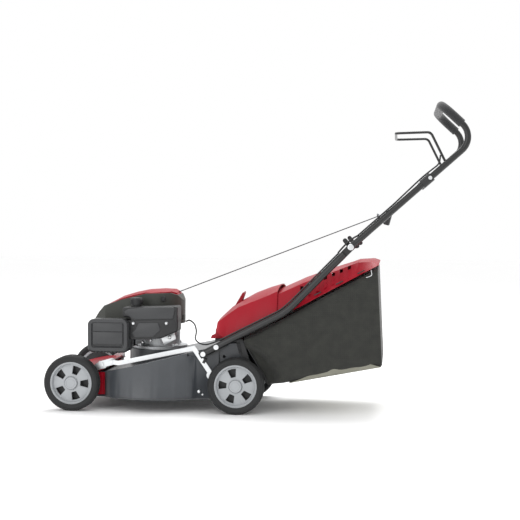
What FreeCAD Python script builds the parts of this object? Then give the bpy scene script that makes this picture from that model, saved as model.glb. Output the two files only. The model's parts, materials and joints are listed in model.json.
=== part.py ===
"""Push lawn mower with a collecting bag, in millimetres.

+Z is up, the front of the mower is towards -X and its left side, as the
operator sees it, is towards -Y.  Every piece is drawn with X counted from the
rear wheel centre, and its Placement carries it to the mower's own frame, whose
origin is on the ground in the middle of the whole mower.
"""
import FreeCAD, Part
import math
import os
import re
from types import SimpleNamespace

import Sketcher
from FreeCAD import Placement, Rotation, Vector

SIZES = [
    # running gear
    ("rear_axle_x", -52, "rear wheel centre, from the middle of the mower"),
    ("wheelbase", 534, "front wheel centre to rear wheel centre"),
    ("wheel_radius", 90, "all four tyres"),
    ("tyre_width", 44, "across the tread"),
    ("rim_radius", 68, "seat of the tyre on the rim"),
    ("hub_radius", 20, "centre boss of the rim"),
    ("axle_radius", 6, "both cross axles"),
    ("front_wheel_y", 185, "mid plane of a front wheel"),
    ("rear_wheel_y", 190, "mid plane of a rear wheel"),
    # height adjustment: a pivot on the deck, an arm to the wheel, an arm to the link
    ("front_pivot_x", -446, "front arm pivot on the deck"),
    ("front_pivot_z", 146, "front arm pivot on the deck"),
    ("rear_pivot_x", -88, "rear arm pivot on the deck"),
    ("rear_pivot_z", 118, "rear arm pivot on the deck"),
    ("front_pin_x", -410, "front end of the height link"),
    ("front_pin_z", 156, "front end of the height link"),
    ("rear_pin_x", -67, "rear end of the height link"),
    ("rear_pin_z", 98, "rear end of the height link"),
    ("arm_y", 160, "inner face of the rear arms"),
    ("front_arm_y", 149, "inner face of the front arms"),
    ("sheet", 3, "thickness of arms, brackets and link"),
    ("fit", 0.1, "radial clearance of a pin or shaft in its hole"),
    # deck
    ("deck_wall", 2, "pressed steel sheet"),
    ("deck_bottom", 41, "lower edge of the deck above the ground"),
    ("deck_front", -500, "front wall of the deck"),
    ("deck_rear", -60, "rear wall of the deck"),
    ("deck_half", 207, "half width at the widest place"),
    ("deck_top", 160, "top of the deck sheet over the blade axis"),
    ("deck_rise", 0.24, "rise of the deck top towards the rear, per mm"),
    ("blade_x", -282, "crankshaft and blade axis"),
    ("seat_top", 190, "engine mounting face"),
    ("seat_radius", 100, "engine mounting face"),
    ("mask_wall", 2.5, "moulded front mask"),
    # engine
    ("case_radius", 68, "crankcase"),
    ("shaft_radius", 12.5, "crankshaft journals"),
    ("bore_radius", 30, "cylinder bore"),
    ("bore_z", 236, "cylinder centre line"),
    ("cowl_half", 85, "half width of the blower housing"),
    ("cowl_wall", 2.5, "moulded engine covers"),
    ("flywheel_radius", 76, "flywheel with its fan"),
    ("tank_y", -160, "outer face of the fuel tank"),
    ("airbox_y", -178, "outer face of the air box"),
    ("cap_radius", 20, "fuel cap"),
    ("blade_radius", 200, "tip of the blade"),
    ("blade_z", 55, "underside of the blade"),
    # handle
    ("handle_y", 200, "centre line of the handle tubes"),
    ("lower_tube_radius", 11, "lower handle tubes"),
    ("upper_tube_radius", 10, "upper handle tubes"),
    ("tube_wall", 1.5, "handle tubes"),
    ("fold_x", 361, "pivot of the folding handle"),
    ("fold_z", 534, "pivot of the folding handle"),
    ("handle_angle", 41.61, "slope of the upper handle, in degrees"),
    ("joiner_x", 595, "joint between upper tubes and handlebar"),
    ("bar_top_x", 637, "cross bar of the handlebar"),
    ("bar_top_z", 975, "cross bar of the handlebar"),
    ("foam_radius", 14, "foam grip"),
    ("bail_x", 649, "pivot of the brake bail"),
    ("bail_z", 804, "pivot of the brake bail"),
    ("bail_half", 182, "half width of the brake bail"),
    ("bail_wire", 4, "radius of the bail wire"),
    ("cable_radius", 2.5, "sheathed brake cable"),
    ("rope_radius", 1.6, "starter rope"),
    # bag and flap
    ("flap_x", -60, "hinge of the rear flap"),
    ("flap_z", 258, "hinge of the rear flap"),
    ("bag_half", 177, "half width of the bag"),
    ("bag_throat", 162, "half width of the bag between the rear wheels"),
    ("cloth", 2, "bag fabric"),
    ("lid_wall", 2.5, "moulded lid and flap"),
    ("lap", 30, "length of the half-lap at the handle's fold"),
]

doc = FreeCAD.newDocument("LawnMower")
sheet = doc.addObject("Spreadsheet::Sheet", "Sizes")
for row, (alias, number, meaning) in enumerate(SIZES, 1):
    sheet.set(f"A{row}", meaning)
    sheet.set(f"B{row}", str(number))
    sheet.setAlias(f"B{row}", alias)
doc.recompute()
ALIASES = {alias for alias, _, _ in SIZES}
size = SimpleNamespace(**{alias: float(getattr(sheet, alias)) for alias in ALIASES})

# Local +Z of a piece, turned to point up, to the left or to the right.
UP = Rotation()
LEFT = Rotation(Vector(1, 0, 0), 90)
RIGHT = Rotation(Vector(1, 0, 0), -90)

# Places, as x and z, of the bolts that hold the handle's brackets, and, as x
# and y, of those that hold the engine.
BRACKET_BOLTS = [(-61, 214.6), (-103, 192)]
ENGINE_BOLTS = [(size.blade_x + x, y) for x in (-56.57, 56.57) for y in (-56.57, 56.57)]

pieces = []


def bound(text):
    """Turn a formula in the sheet's words into one that any object can use."""
    return re.sub(r"[a-z_]+", lambda m: "Sizes." + m[0] if m[0] in ALIASES else m[0], str(text))


def value(text):
    return float(sheet.evalExpression(str(text)))


def keep(piece, label, at=("0", "0", "0"), turn=UP):
    """Name a finished piece and bind its place to the sheet."""
    piece.Label = label
    piece.Placement = Placement(Vector(*(value(f) for f in at)), turn)
    piece.setExpression(".Placement.Base.x", bound(f"rear_axle_x + {at[0]}"))
    piece.setExpression(".Placement.Base.y", bound(at[1]))
    piece.setExpression(".Placement.Base.z", bound(at[2]))
    pieces.append(piece)
    return piece


def shaped(label, shape):
    """A piece whose shape is worked out with Part's own functions."""
    piece = doc.addObject("Part::Feature", label)
    piece.Shape = shape
    return keep(piece, label)


def sketch_on(body, role, name, lift="0"):
    sketch = body.newObject("Sketcher::SketchObject", name)
    plane = next(f for f in body.Origin.OriginFeatures if f.Role == role)
    sketch.AttachmentSupport = [(plane, "")]
    sketch.MapMode = "FlatFace"
    sketch.setExpression("AttachmentOffset.Base.z", bound(lift))
    return sketch


def draw_outline(sketch, corners):
    """A closed outline; each corner is a pair of formulas in the sheet's words."""
    points = [Vector(value(across), value(up), 0) for across, up in corners]
    count = len(points)
    for here, there in zip(points, points[1:] + points[:1]):
        sketch.addGeometry(Part.LineSegment(here, there), False)
    for side in range(count):
        sketch.addConstraint(Sketcher.Constraint("Coincident", side, 2, (side + 1) % count, 1))
    for side, (across, up) in enumerate(corners):
        for kind, formula in (("DistanceX", across), ("DistanceY", up)):
            index = sketch.addConstraint(Sketcher.Constraint(kind, -1, 1, side, 1, value(formula)))
            sketch.setExpression(f"Constraints[{index}]", bound(formula))


def draw_hole(sketch, across, up, radius):
    centre = Vector(value(across), value(up), 0)
    ring = sketch.addGeometry(Part.Circle(centre, Vector(0, 0, 1), value(radius)), False)
    for kind, formula in (("DistanceX", across), ("DistanceY", up)):
        index = sketch.addConstraint(Sketcher.Constraint(kind, -1, 1, ring, 3, value(formula)))
        sketch.setExpression(f"Constraints[{index}]", bound(formula))
    index = sketch.addConstraint(Sketcher.Constraint("Radius", ring, value(radius)))
    sketch.setExpression(f"Constraints[{index}]", bound(radius))


def turned_body(label, profile, at=("0", "0", "0"), turn=UP):
    """A turned piece; the profile is (radius, height) along its local +Z."""
    body = doc.addObject("PartDesign::Body", label)
    sketch = sketch_on(body, "XZ_Plane", label + "_profile")
    draw_outline(sketch, profile)
    spin = body.newObject("PartDesign::Revolution", label + "_turn")
    spin.Profile = sketch
    spin.ReferenceAxis = (sketch, ["V_Axis"])
    spin.Angle = 360
    return keep(body, label, at, turn)


def plate_body(label, outline, thickness, holes=(), at=("0", "0", "0"), turn=UP, lift="0"):
    """A flat piece cut from sheet, standing on its local XY plane."""
    body = doc.addObject("PartDesign::Body", label)
    sketch = sketch_on(body, "XY_Plane", label + "_outline", lift)
    draw_outline(sketch, outline)
    for across, up, radius in holes:
        draw_hole(sketch, across, up, radius)
    pad = body.newObject("PartDesign::Pad", label + "_pad")
    pad.Profile = sketch
    pad.setExpression("Length", bound(thickness))
    return keep(body, label, at, turn)


def box(low, high):
    """A plain block between two corners."""
    return Part.makeBox(high[0] - low[0], high[1] - low[1], high[2] - low[2], Vector(*low))


def rod(start, end, radius):
    start, end = Vector(*start), Vector(*end)
    return Part.makeCylinder(radius, (end - start).Length, start, end - start)


def ring(start, end, radius, bore):
    return rod(start, end, radius).cut(rod(start, end, bore))


def side_profile(points, low_y, high_y):
    """Pad an outline of (x, z) points from low_y to high_y."""
    corners = [Vector(x, low_y, z) for x, z in points]
    face = Part.Face(Part.makePolygon(corners + corners[:1]))
    return face.extrude(Vector(0, high_y - low_y, 0))


def joined(*shapes):
    return shapes[0].fuse(list(shapes[1:])).removeSplitter()


def mirrored(shape):
    return shape.mirror(Vector(0, 0, 0), Vector(0, 1, 0))


def both_sides(shape):
    """The piece and its mirror image, as two separate solids."""
    return Part.makeCompound([shape, mirrored(shape)])


def softened(shape, radius, wanted):
    """Round the edges for which wanted(edge) holds."""
    edges = [edge for edge in shape.Edges if wanted(edge)]
    return shape.makeFillet(radius, edges)


def runs_along(axis):
    """A test for straight edges that follow an axis."""
    def test(edge):
        if not isinstance(edge.Curve, Part.Line):
            return False
        return abs(edge.Curve.Direction.dot(axis)) > 0.999
    return test


def route(points, bends):
    """Straight runs joined by tangent arcs; bends is one radius or one per corner."""
    points = [Vector(*point) for point in points]
    if not isinstance(bends, (list, tuple)):
        bends = [bends] * (len(points) - 2)
    edges = []
    start = points[0]
    for before, corner, after, bend in zip(points, points[1:], points[2:], bends):
        back = (before - corner).normalize()
        ahead = (after - corner).normalize()
        half_turn = (math.pi - back.getAngle(ahead)) / 2
        reach = bend * math.tan(half_turn)
        first = corner + back * reach
        last = corner + ahead * reach
        inward = (back + ahead).normalize()
        middle = corner + inward * (bend / math.cos(half_turn) - bend)
        edges.append(Part.LineSegment(start, first).toShape())
        edges.append(Part.Arc(first, middle, last).toShape())
        start = last
    edges.append(Part.LineSegment(start, points[-1]).toShape())
    return Part.Wire(edges)


def swept(path, radius):
    start = path.Edges[0].firstVertex().Point
    heading = path.Edges[0].tangentAt(path.Edges[0].FirstParameter)
    section = Part.Wire([Part.makeCircle(radius, start, heading)])
    return path.makePipeShell([section], True, False)


def easy_bends(points):
    """The largest arc that two neighbouring runs of a cable leave room for."""
    points = [Vector(*point) for point in points]
    radii = []
    for before, corner, after in zip(points, points[1:], points[2:]):
        turn = math.pi - (before - corner).getAngle(after - corner)
        shorter = min((before - corner).Length, (after - corner).Length)
        radii.append(0.45 * shorter / math.tan(turn / 2))
    return radii


# ---------------------------------------------------------------- deck
def deck_outline(inset):
    """Plan of the blade housing, pulled in by inset all round."""
    front, rear = size.deck_front, size.deck_rear
    corners = [Vector(rear, -158, 0), Vector(-132, -158, 0), Vector(-438, -142, 0), Vector(front, -118, 0)]
    mirror = [Vector(v.x, -v.y, 0) for v in corners]
    wide = Vector(-278, -size.deck_half, 0)
    shoulder = Vector(-475, -133, 0)
    edges = [
        Part.LineSegment(corners[0], corners[1]).toShape(),
        Part.Arc(corners[1], wide, corners[2]).toShape(),
        Part.Arc(corners[2], shoulder, corners[3]).toShape(),
        Part.LineSegment(corners[3], mirror[3]).toShape(),
        Part.Arc(mirror[3], Vector(shoulder.x, -shoulder.y, 0), mirror[2]).toShape(),
        Part.Arc(mirror[2], Vector(wide.x, -wide.y, 0), mirror[1]).toShape(),
        Part.LineSegment(mirror[1], mirror[0]).toShape(),
        Part.LineSegment(mirror[0], corners[0]).toShape(),
    ]
    face = Part.Face(Part.Wire(edges))
    return face.makeOffset2D(-inset) if inset else face


def deck_form(inset, low, drop):
    """Blade housing, engine seat and chute as one closed form."""
    top = size.deck_top - drop
    slope = size.deck_rise
    housing = deck_outline(inset)
    housing.translate(Vector(0, 0, low))
    housing = housing.extrude(Vector(0, 0, 300))
    front, rear = size.deck_front - 50, size.deck_rear + 50
    above = [(front, top + slope * (front - size.blade_x)), (rear, top + slope * (rear - size.blade_x)),
             (rear, 600), (front, 600)]
    link_room = box((-160 - inset, -200, 180 - inset), (-120 + inset, inset - 162.4, 260))
    housing = housing.cut([side_profile(above, -300, 300), link_room])
    seat = Part.makeCylinder(size.seat_radius - inset, size.seat_top - drop - 100, Vector(size.blade_x, 0, 100))
    return housing.fuse(seat)


def chute_form(inset):
    """Passage from the blade housing up to the mouth of the bag."""
    mouth = 40 if inset else 0
    points = [(-100, 60 + inset), (-72, 60 + inset), (-28, 113 + inset), (36 + mouth, 127 + inset + mouth / 5),
              (0 + mouth, 222 - inset), (-60, 218 - inset), (-100, 205 - inset)]
    half = 150 - inset
    return side_profile(points, -half, half)


def make_deck():
    wall = size.deck_wall
    outside = deck_form(0, size.deck_bottom, 0)
    rim = deck_outline(0).makeOffset2D(4)
    rim.translate(Vector(0, 0, size.deck_bottom))
    outside = outside.fuse([rim.extrude(Vector(0, 0, 4)), chute_form(0)])
    inside = deck_form(wall, 0, wall).fuse(chute_form(wall))
    shaft_hole = Part.makeCylinder(34, 100, Vector(size.blade_x, 0, size.seat_top - 50))
    side_hole = rod((-44, -170, 178), (-44, -140, 178), 5)
    bolt_holes = [rod((x, y, 150), (x, y, 230), 4.2) for x, y in ENGINE_BOLTS]
    shell = outside.cut([inside, shaft_hole, side_hole] + bolt_holes + chute_frame_parts())
    shaped("deck_shell", shell.removeSplitter())


def mask_form(inset):
    """Moulded mask that wraps the front of the deck between the wheels."""
    half = 150 - inset
    plan = [(-444, half - 3), (-536, half - 8), (-562 + inset, 112 - inset), (-570 + inset, 0)]
    left = [Vector(x, -y, 0) for x, y in plan]
    right = [Vector(x, y, 0) for x, y in reversed(plan[:-1])]
    face = Part.Face(Part.makePolygon(left + right + left[:1]))
    low = 0 if inset else 48
    face.translate(Vector(0, 0, low))
    body = face.extrude(Vector(0, 0, 300))
    brow = [(-600, 106 - inset), (-556, 126 - inset), (-500, 138 - inset), (-430, 142 - inset), (-430, 600),
            (-600, 600)]
    return body.cut(side_profile(brow, -300, 300))


def make_front_mask():
    """The deck's front stands inside it, so it is hollow and open below; two cheeks wrap the deck's sides."""
    shell = mask_form(0).cut(mask_form(size.mask_wall))
    cheeks = deck_outline(0).makeOffset2D(0.6 + size.mask_wall).extrude(Vector(0, 0, 300))
    shell = shell.fuse(cheeks.common(box((-470, -300, 48), (-405, 300, 128)))).removeSplitter()
    deck_room = deck_outline(0).makeOffset2D(0.6)
    deck_room = deck_room.extrude(Vector(0, 0, 300))
    roof = side_profile([(-400, 0), (-400, 138), (-430, 131), (-500, 113.5), (-510, 111), (-510, 0)], -300, 300)
    flange_room = deck_outline(0).makeOffset2D(4.4).extrude(Vector(0, 0, 46))
    shell = shell.cut([deck_room.common(roof), flange_room])
    lug = box((-468, 138, 120), (-424, 170, 170))
    shell = shell.cut([lug, mirrored(lug)])
    wheel_x = -size.wheelbase
    for side in (-1, 1):
        slot = box((wheel_x - 19, min(side * 120, side * 170), 0), (wheel_x + 36, max(side * 120, side * 170), 119))
        shell = shell.cut(slot)
    grille = [box((-575, -96 + 24 * n, 74), (-555, -84 + 24 * n, 96)) for n in range(9)]
    shell = shell.cut(grille)
    shaped("front_mask", shell)


def chute_frame_parts():
    """Ring round the bag mouth, its cover strip, and the two ears that hold the flap rod."""
    outer = side_profile([(34, 118), (56, 122), (16, 236), (-4, 232)], -158, 158)
    hole = side_profile([(30, 128), (70, 136), (26, 224), (-14, 220)], -148, 148)
    frame = outer.cut(hole)
    sleeve = side_profile([(-2, 232.2), (-52, 228.4), (-52, 222), (-2, 225.6)], -150, 150)
    ear = side_profile([(-74, 226.6), (-40, 229.4), (-48, 266), (-60, 271), (-72, 266)], -148, -140)
    ear = ear.cut(rod((size.flap_x, -200, size.flap_z), (size.flap_x, 0, size.flap_z), 3.2))
    sleeve = sleeve.cut(frame)
    return [frame, sleeve, ear, mirrored(ear)]


def make_chute_frame():
    shaped("chute_frame", Part.makeCompound(chute_frame_parts()))


def make_flap_rod():
    shaped("flap_rod", rod((size.flap_x, -156, size.flap_z), (size.flap_x, 156, size.flap_z), 3))


# ---------------------------------------------------------------- running gear
def make_wheel(name, wheel_x, wheel_y, turn, first_slot):
    """A tyre pressed on a moulded rim with five windows; local +Z points outwards."""
    at = (wheel_x, wheel_y, "wheel_radius")
    half = "tyre_width / 2"
    tread = [("rim_radius", f"-{half} + 5"), ("wheel_radius - 10", f"-{half}"), ("wheel_radius - 4", f"-{half} + 2"),
             ("wheel_radius", f"-{half} + 8"), ("wheel_radius", f"{half} - 8"), ("wheel_radius - 4", f"{half} - 2"),
             ("wheel_radius - 10", half), ("rim_radius", f"{half} - 5")]
    turned_body("tyre_" + name, tread, at, turn)
    bore = "axle_radius + fit"
    rim = [(bore, "-20"), ("hub_radius - 3", "-20"), ("hub_radius - 1", "6"), ("58", "1"), ("60", "-16"),
           ("rim_radius", "-16"), ("rim_radius", "17"), ("64", "19"), ("62", "17"), ("60", "7"),
           ("hub_radius + 6", "13"), ("hub_radius + 2", "13"), ("hub_radius + 1", "11"), ("hub_radius", "13"),
           ("hub_radius - 1", "15"), (bore, "16")]
    body = turned_body("rim_" + name, rim, at, turn)
    window = sketch_on(body, "XY_Plane", name + "_window")
    corners = [(29, -8), (54, -14), (56, 0), (54, 14), (29, 8)]
    angle = math.radians(first_slot)
    turned = []
    for along, across in corners:
        x = along * math.cos(angle) - across * math.sin(angle)
        y = along * math.sin(angle) + across * math.cos(angle)
        turned.append((f"{x:.3f}", f"{y:.3f}"))
    draw_outline(window, turned)
    pocket = body.newObject("PartDesign::Pocket", name + "_pocket")
    pocket.Profile = window
    pocket.Type = 1
    pocket.Midplane = True
    pattern = body.newObject("PartDesign::PolarPattern", name + "_windows")
    pattern.Originals = [pocket]
    pattern.Axis = (window, ["N_Axis"])
    pattern.Angle = 360
    pattern.Occurrences = 5
    body.Tip = pattern


def make_wheels():
    front_x, rear_x = "-wheelbase", "0"
    make_wheel("front_left", front_x, "-front_wheel_y", LEFT, -2)
    make_wheel("front_right", front_x, "front_wheel_y", RIGHT, 20)
    make_wheel("rear_left", rear_x, "-rear_wheel_y", LEFT, 32)
    make_wheel("rear_right", rear_x, "rear_wheel_y", RIGHT, 50)


def strip(points, half_width, low_y, high_y):
    """A flat strip with round ends and corners, along (x, z) points."""
    parts = [rod((x, low_y, z), (x, high_y, z), half_width) for x, z in points]
    for here, there in zip(points, points[1:]):
        along = Vector(there[0] - here[0], 0, there[1] - here[1]).normalize()
        side = Vector(-along.z, 0, along.x) * half_width
        corners = [(here[0] + side.x, here[1] + side.z), (there[0] + side.x, there[1] + side.z),
                   (there[0] - side.x, there[1] - side.z), (here[0] - side.x, here[1] - side.z)]
        parts.append(side_profile(corners, low_y, high_y))
    return joined(*parts)


def arm_plate(points, low_y, pins):
    """A flat arm with round ends round its pin holes, on the left side."""
    plate = strip(points, 11, -low_y - size.sheet, -low_y)
    for x, z, radius in pins:
        plate = plate.cut(rod((x, -low_y + 5, z), (x, -low_y - 10, z), radius))
    return plate


def axle_with_arms(wheel_x, wheel_y, pivot, pin, arm_y):
    """Cross axle welded to two arms, with a washer and a nut outside each wheel."""
    radius = size.axle_radius
    centre = (wheel_x, size.wheel_radius)
    reach = wheel_y + 19.5
    parts = [rod((wheel_x, -reach, centre[1]), (wheel_x, reach, centre[1]), radius)]
    pin_hole = 4 + size.fit
    pivot_hole = 5 + size.fit
    left = arm_plate([pin, pivot, centre], arm_y, [(*pivot, pivot_hole), (*pin, pin_hole)])
    right = mirrored(arm_plate([pivot, centre], arm_y, [(*pivot, pivot_hole)]))
    parts += [left, right]
    for side in (-1, 1):
        inner = wheel_y - 20.3
        parts.append(rod((wheel_x, side * (arm_y + size.sheet), centre[1]), (wheel_x, side * inner, centre[1]), 10))
        parts.append(rod((wheel_x, side * (wheel_y + 16.3), centre[1]), (wheel_x, side * reach, centre[1]), 9))
    return joined(*parts)


def make_axles():
    front_pivot = (size.front_pivot_x, size.front_pivot_z)
    rear_pivot = (size.rear_pivot_x, size.rear_pivot_z)
    front_pin = (size.front_pin_x, size.front_pin_z)
    rear_pin = (size.rear_pin_x, size.rear_pin_z)
    front = axle_with_arms(-size.wheelbase, size.front_wheel_y, front_pivot, front_pin, size.front_arm_y)
    shaped("front_axle", front)
    shaped("rear_axle", axle_with_arms(0, size.rear_wheel_y, rear_pivot, rear_pin, size.arm_y))


def make_pivots():
    """Shouldered pins, one at each arm: riveted to lugs in front and to the side plates behind."""
    x, z = size.front_pivot_x, size.front_pivot_z
    inner = size.front_arm_y - 0.4
    lug = side_profile([(x - 18, 126), (x + 14, 134), (x + 9, z + 10), (x - 9, z + 10)], -inner, -inner + 8)
    pin = rod((x, -inner + 2, z), (x, -inner - 5, z), 5).fuse(rod((x, -inner - 4.2, z), (x, -inner - 7, z), 8))
    front = lug.fuse(pin).removeSplitter()
    x, z = size.rear_pivot_x, size.rear_pivot_z
    boss = rod((x, -size.arm_y + 0.4, z), (x, -158, z), 12)
    flush = boss.fuse(rod((x, -159, z), (x, -size.arm_y - size.sheet, z), 5)).removeSplitter()
    headed = boss.fuse([rod((x, -159, z), (x, -165, z), 5), rod((x, -163.6, z), (x, -166, z), 7)]).removeSplitter()
    shaped("arm_pivots", Part.makeCompound([front, mirrored(front), flush, mirrored(headed)]))


def make_height_link():
    """Zinc plated strip that ties the front arm to the rear arm on the left side."""
    points = [(size.front_pin_x, size.front_pin_z), (-386, 153), (-140, 205), (size.rear_pin_x, size.rear_pin_z)]
    face_y = -(size.arm_y + size.sheet + 0.4)
    bar = strip(points, 7.5, face_y - size.sheet, face_y)
    rear_pin = rod((size.rear_pin_x, face_y + 1, size.rear_pin_z), (size.rear_pin_x, face_y + 4.2, size.rear_pin_z), 4)
    front_y = -size.front_arm_y + 1
    front_pin = rod((size.front_pin_x, face_y - 1, size.front_pin_z), (size.front_pin_x, front_y, size.front_pin_z), 2.3)
    head = rod((size.front_pin_x, face_y - 2.9, size.front_pin_z), (size.front_pin_x, face_y - 6, size.front_pin_z), 6)
    shaped("height_link", joined(bar, rear_pin, front_pin, head))


def make_height_lever():
    """Short lever on the right rear arm: a thumb knob, and a tooth that drops in the quadrant's notches."""
    x, z = size.rear_pivot_x, size.rear_pivot_z
    low_y = size.arm_y + size.sheet
    arm = strip([(x, z), (x + 1, z + 24), (x + 3, z + 46)], 9, low_y, low_y + size.sheet)
    arm = arm.cut(rod((x, 150, z), (x, 190, z), 7.4))
    knob = rod((x + 3, size.arm_y + 3.2, z + 46), (x + 3, size.arm_y + 25, z + 46), 10)
    knob = softened(knob, 3, lambda edge: edge.BoundBox.YLength < 0.1)
    tooth = rod((x + 1.5, size.arm_y + size.sheet, z + 34), (x + 1.5, size.arm_y - 1, z + 34), 3)
    shaped("height_lever", joined(arm, knob, tooth))


def make_quadrant():
    """Notched plate that holds the lever at one of seven heights."""
    x, z = size.rear_pivot_x, size.rear_pivot_z
    inner, outer, low, high = 24, 44, -24, 38
    centre = Vector(x, 0, z)

    def spot(radius, degrees):
        angle = math.radians(degrees)
        return centre + Vector(radius * math.sin(angle), 0, radius * math.cos(angle))

    edges = [
        Part.Arc(spot(outer, low), spot(outer, (low + high) / 2), spot(outer, high)).toShape(),
        Part.LineSegment(spot(outer, high), spot(inner, high)).toShape(),
        Part.Arc(spot(inner, high), spot(inner, (low + high) / 2), spot(inner, low)).toShape(),
        Part.LineSegment(spot(inner, low), spot(outer, low)).toShape(),
    ]
    plate = Part.Face(Part.Wire(edges)).extrude(Vector(0, size.sheet, 0))
    plate.translate(Vector(0, 158, 0))
    slot_path = [spot(34, degrees) for degrees in range(-10, 23, 4)]
    slots = []
    for point in slot_path:
        slots.append(rod((point.x, 150, point.z), (point.x, 170, point.z), 4))
    shaped("height_quadrant", plate.cut(slots))


# ---------------------------------------------------------------- engine
def make_crankcase():
    x, seat, radius = size.blade_x, size.seat_top, size.case_radius
    parts = [rod((x, 0, seat), (x, 0, seat + 9), 92), rod((x, 0, seat), (x, 0, 274), radius)]
    parts.append(box((x - radius - 6, -46, 197), (x, 46, 271)))
    block = parts[0].fuse(parts[1:]).removeSplitter()
    cavity = rod((x, 0, seat + 6), (x, 0, 262), radius - 6)
    bore = rod((x, 0, size.bore_z), (x - radius - 20, 0, size.bore_z), size.bore_radius + 1)
    shaft = rod((x, 0, 100), (x, 0, 300), size.shaft_radius + size.fit)
    case = block.cut([cavity, bore, shaft])
    case = case.cut([rod((px, py, 150), (px, py, 230), 4.2) for px, py in ENGINE_BOLTS])
    shaped("crankcase", case)
    return case


def make_cylinder(case):
    x = size.blade_x - size.case_radius - 6
    z = size.bore_z
    barrel = rod((x, 0, z), (x - 62, 0, z), size.bore_radius + 6)
    fins = []
    for count in range(6):
        fin_x = x - 6 - 10 * count
        fins.append(box((fin_x - 2.5, -54, z - 40), (fin_x, 54, z + 36)))
    barrel = barrel.fuse(fins).cut([rod((x + 1, 0, z), (x - 63, 0, z), size.bore_radius), case])
    shaped("cylinder", barrel.removeSplitter())
    head_x = x - 62
    head = box((head_x - 12, -54, z - 42), (head_x, 54, z + 38))
    ribs = [box((head_x - 30, -48 + 12 * n, z - 38), (head_x - 12, -45 + 12 * n, z + 34)) for n in range(9)]
    head = head.fuse(ribs).cut(rod((head_x - 40, 18, z), (head_x + 1, 18, z), 6))
    shaped("cylinder_head", head.removeSplitter())
    plug = rod((head_x - 4, 18, z), (head_x - 30, 18, z), 5.9)
    cap = rod((head_x - 30, 18, z), (head_x - 52, 18, z), 9).fuse(rod((head_x - 44, 18, z), (head_x - 44, 18, z + 26), 7))
    shaped("spark_plug", plug.fuse(cap).removeSplitter())


def make_crank_train():
    """Everything that turns with the engine, and the piston that it drives."""
    x, z = size.blade_x, size.bore_z
    journal = "shaft_radius"
    at = ("blade_x", "0", "0")
    shaft_low = rod((x, 0, 76), (x, 0, z - 10), size.shaft_radius)
    shaft_high = rod((x, 0, z + 10), (x, 0, 352), size.shaft_radius)
    throw = 22
    pin = rod((x - throw, 0, z - 10), (x - throw, 0, z + 10), 9)
    webs = [box((x - throw - 12, -14, z + low), (x + 30, 14, z + low + 7)) for low in (-17, 10)]
    shaped("crankshaft", joined(shaft_low, shaft_high, pin, *webs))
    wheel = [(f"{journal} + fit", "296"), ("30", "296"), ("flywheel_radius - 8", "300"), ("flywheel_radius", "300"),
             ("flywheel_radius", "322"), ("flywheel_radius - 8", "322"), ("30", "312"), ("30", "318"),
             (f"{journal} + fit", "318")]
    turned_body("flywheel", wheel, at)
    boss = [(f"{journal} + fit", "blade_z + 3"), ("30", "blade_z + 3"), ("30", "blade_z + 9"), ("20", "blade_z + 14"),
            ("20", "118"), (f"{journal} + fit", "118")]
    turned_body("blade_boss", boss, at)
    long, low = size.blade_radius, size.blade_z
    blade = box((x - long, -25, low), (x + long, 25, low + 3))
    for side in (-1, 1):
        wing = side_wing(x, side, long, low)
        blade = blade.fuse(wing)
    blade = blade.cut(rod((x, 0, low - 5), (x, 0, low + 10), 5.2))
    blade = blade.common(rod((x, 0, low - 5), (x, 0, low + 40), long))
    shaped("blade", blade.removeSplitter())
    bolt = rod((x, 0, low - 10), (x, 0, low), 9).fuse(rod((x, 0, low), (x, 0, 75.9), 5))
    shaped("blade_bolt", bolt.removeSplitter())
    pin_x = x - throw
    wrist = (x - 90, 0, z)
    big_end = rod((pin_x, 0, z - 8), (pin_x, 0, z + 8), 15)
    shank = box((wrist[0] + 8, -5, z - 5), (pin_x - 12, 5, z + 5))
    little_end = rod((wrist[0], 0, z - 9), (wrist[0], 0, z + 9), 10)
    con_rod = joined(big_end, shank, little_end)
    con_rod = con_rod.cut([rod((pin_x, 0, z - 20), (pin_x, 0, z + 20), 9 + size.fit),
                           rod((wrist[0], 0, z - 20), (wrist[0], 0, z + 20), 6)])
    shaped("connecting_rod", con_rod)
    piston = rod((wrist[0] + 18, 0, z), (wrist[0] - 22, 0, z), size.bore_radius - size.fit)
    piston = piston.cut(rod((wrist[0] + 19, 0, z), (wrist[0] - 14, 0, z), size.bore_radius - 5))
    pin = rod((wrist[0], 0, z - 26), (wrist[0], 0, z + 26), 6 - size.fit)
    shaped("piston", piston.fuse(pin).removeSplitter())


def side_wing(x, side, long, low):
    """The lifted trailing edge at one end of the blade."""
    near, far = sorted((x + side * (long - 70), x + side * long))
    front = 24.5 * side
    back = 12 * side
    face = Part.Face(Part.makePolygon([Vector(near, front, low + 1), Vector(near, back, low + 3),
                                       Vector(near, front, low + 20), Vector(near, front + 2 * side, low + 20),
                                       Vector(near, front + 1 * side, low + 1), Vector(near, front, low + 1)]))
    return face.extrude(Vector(far - near, 0, 0))


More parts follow.
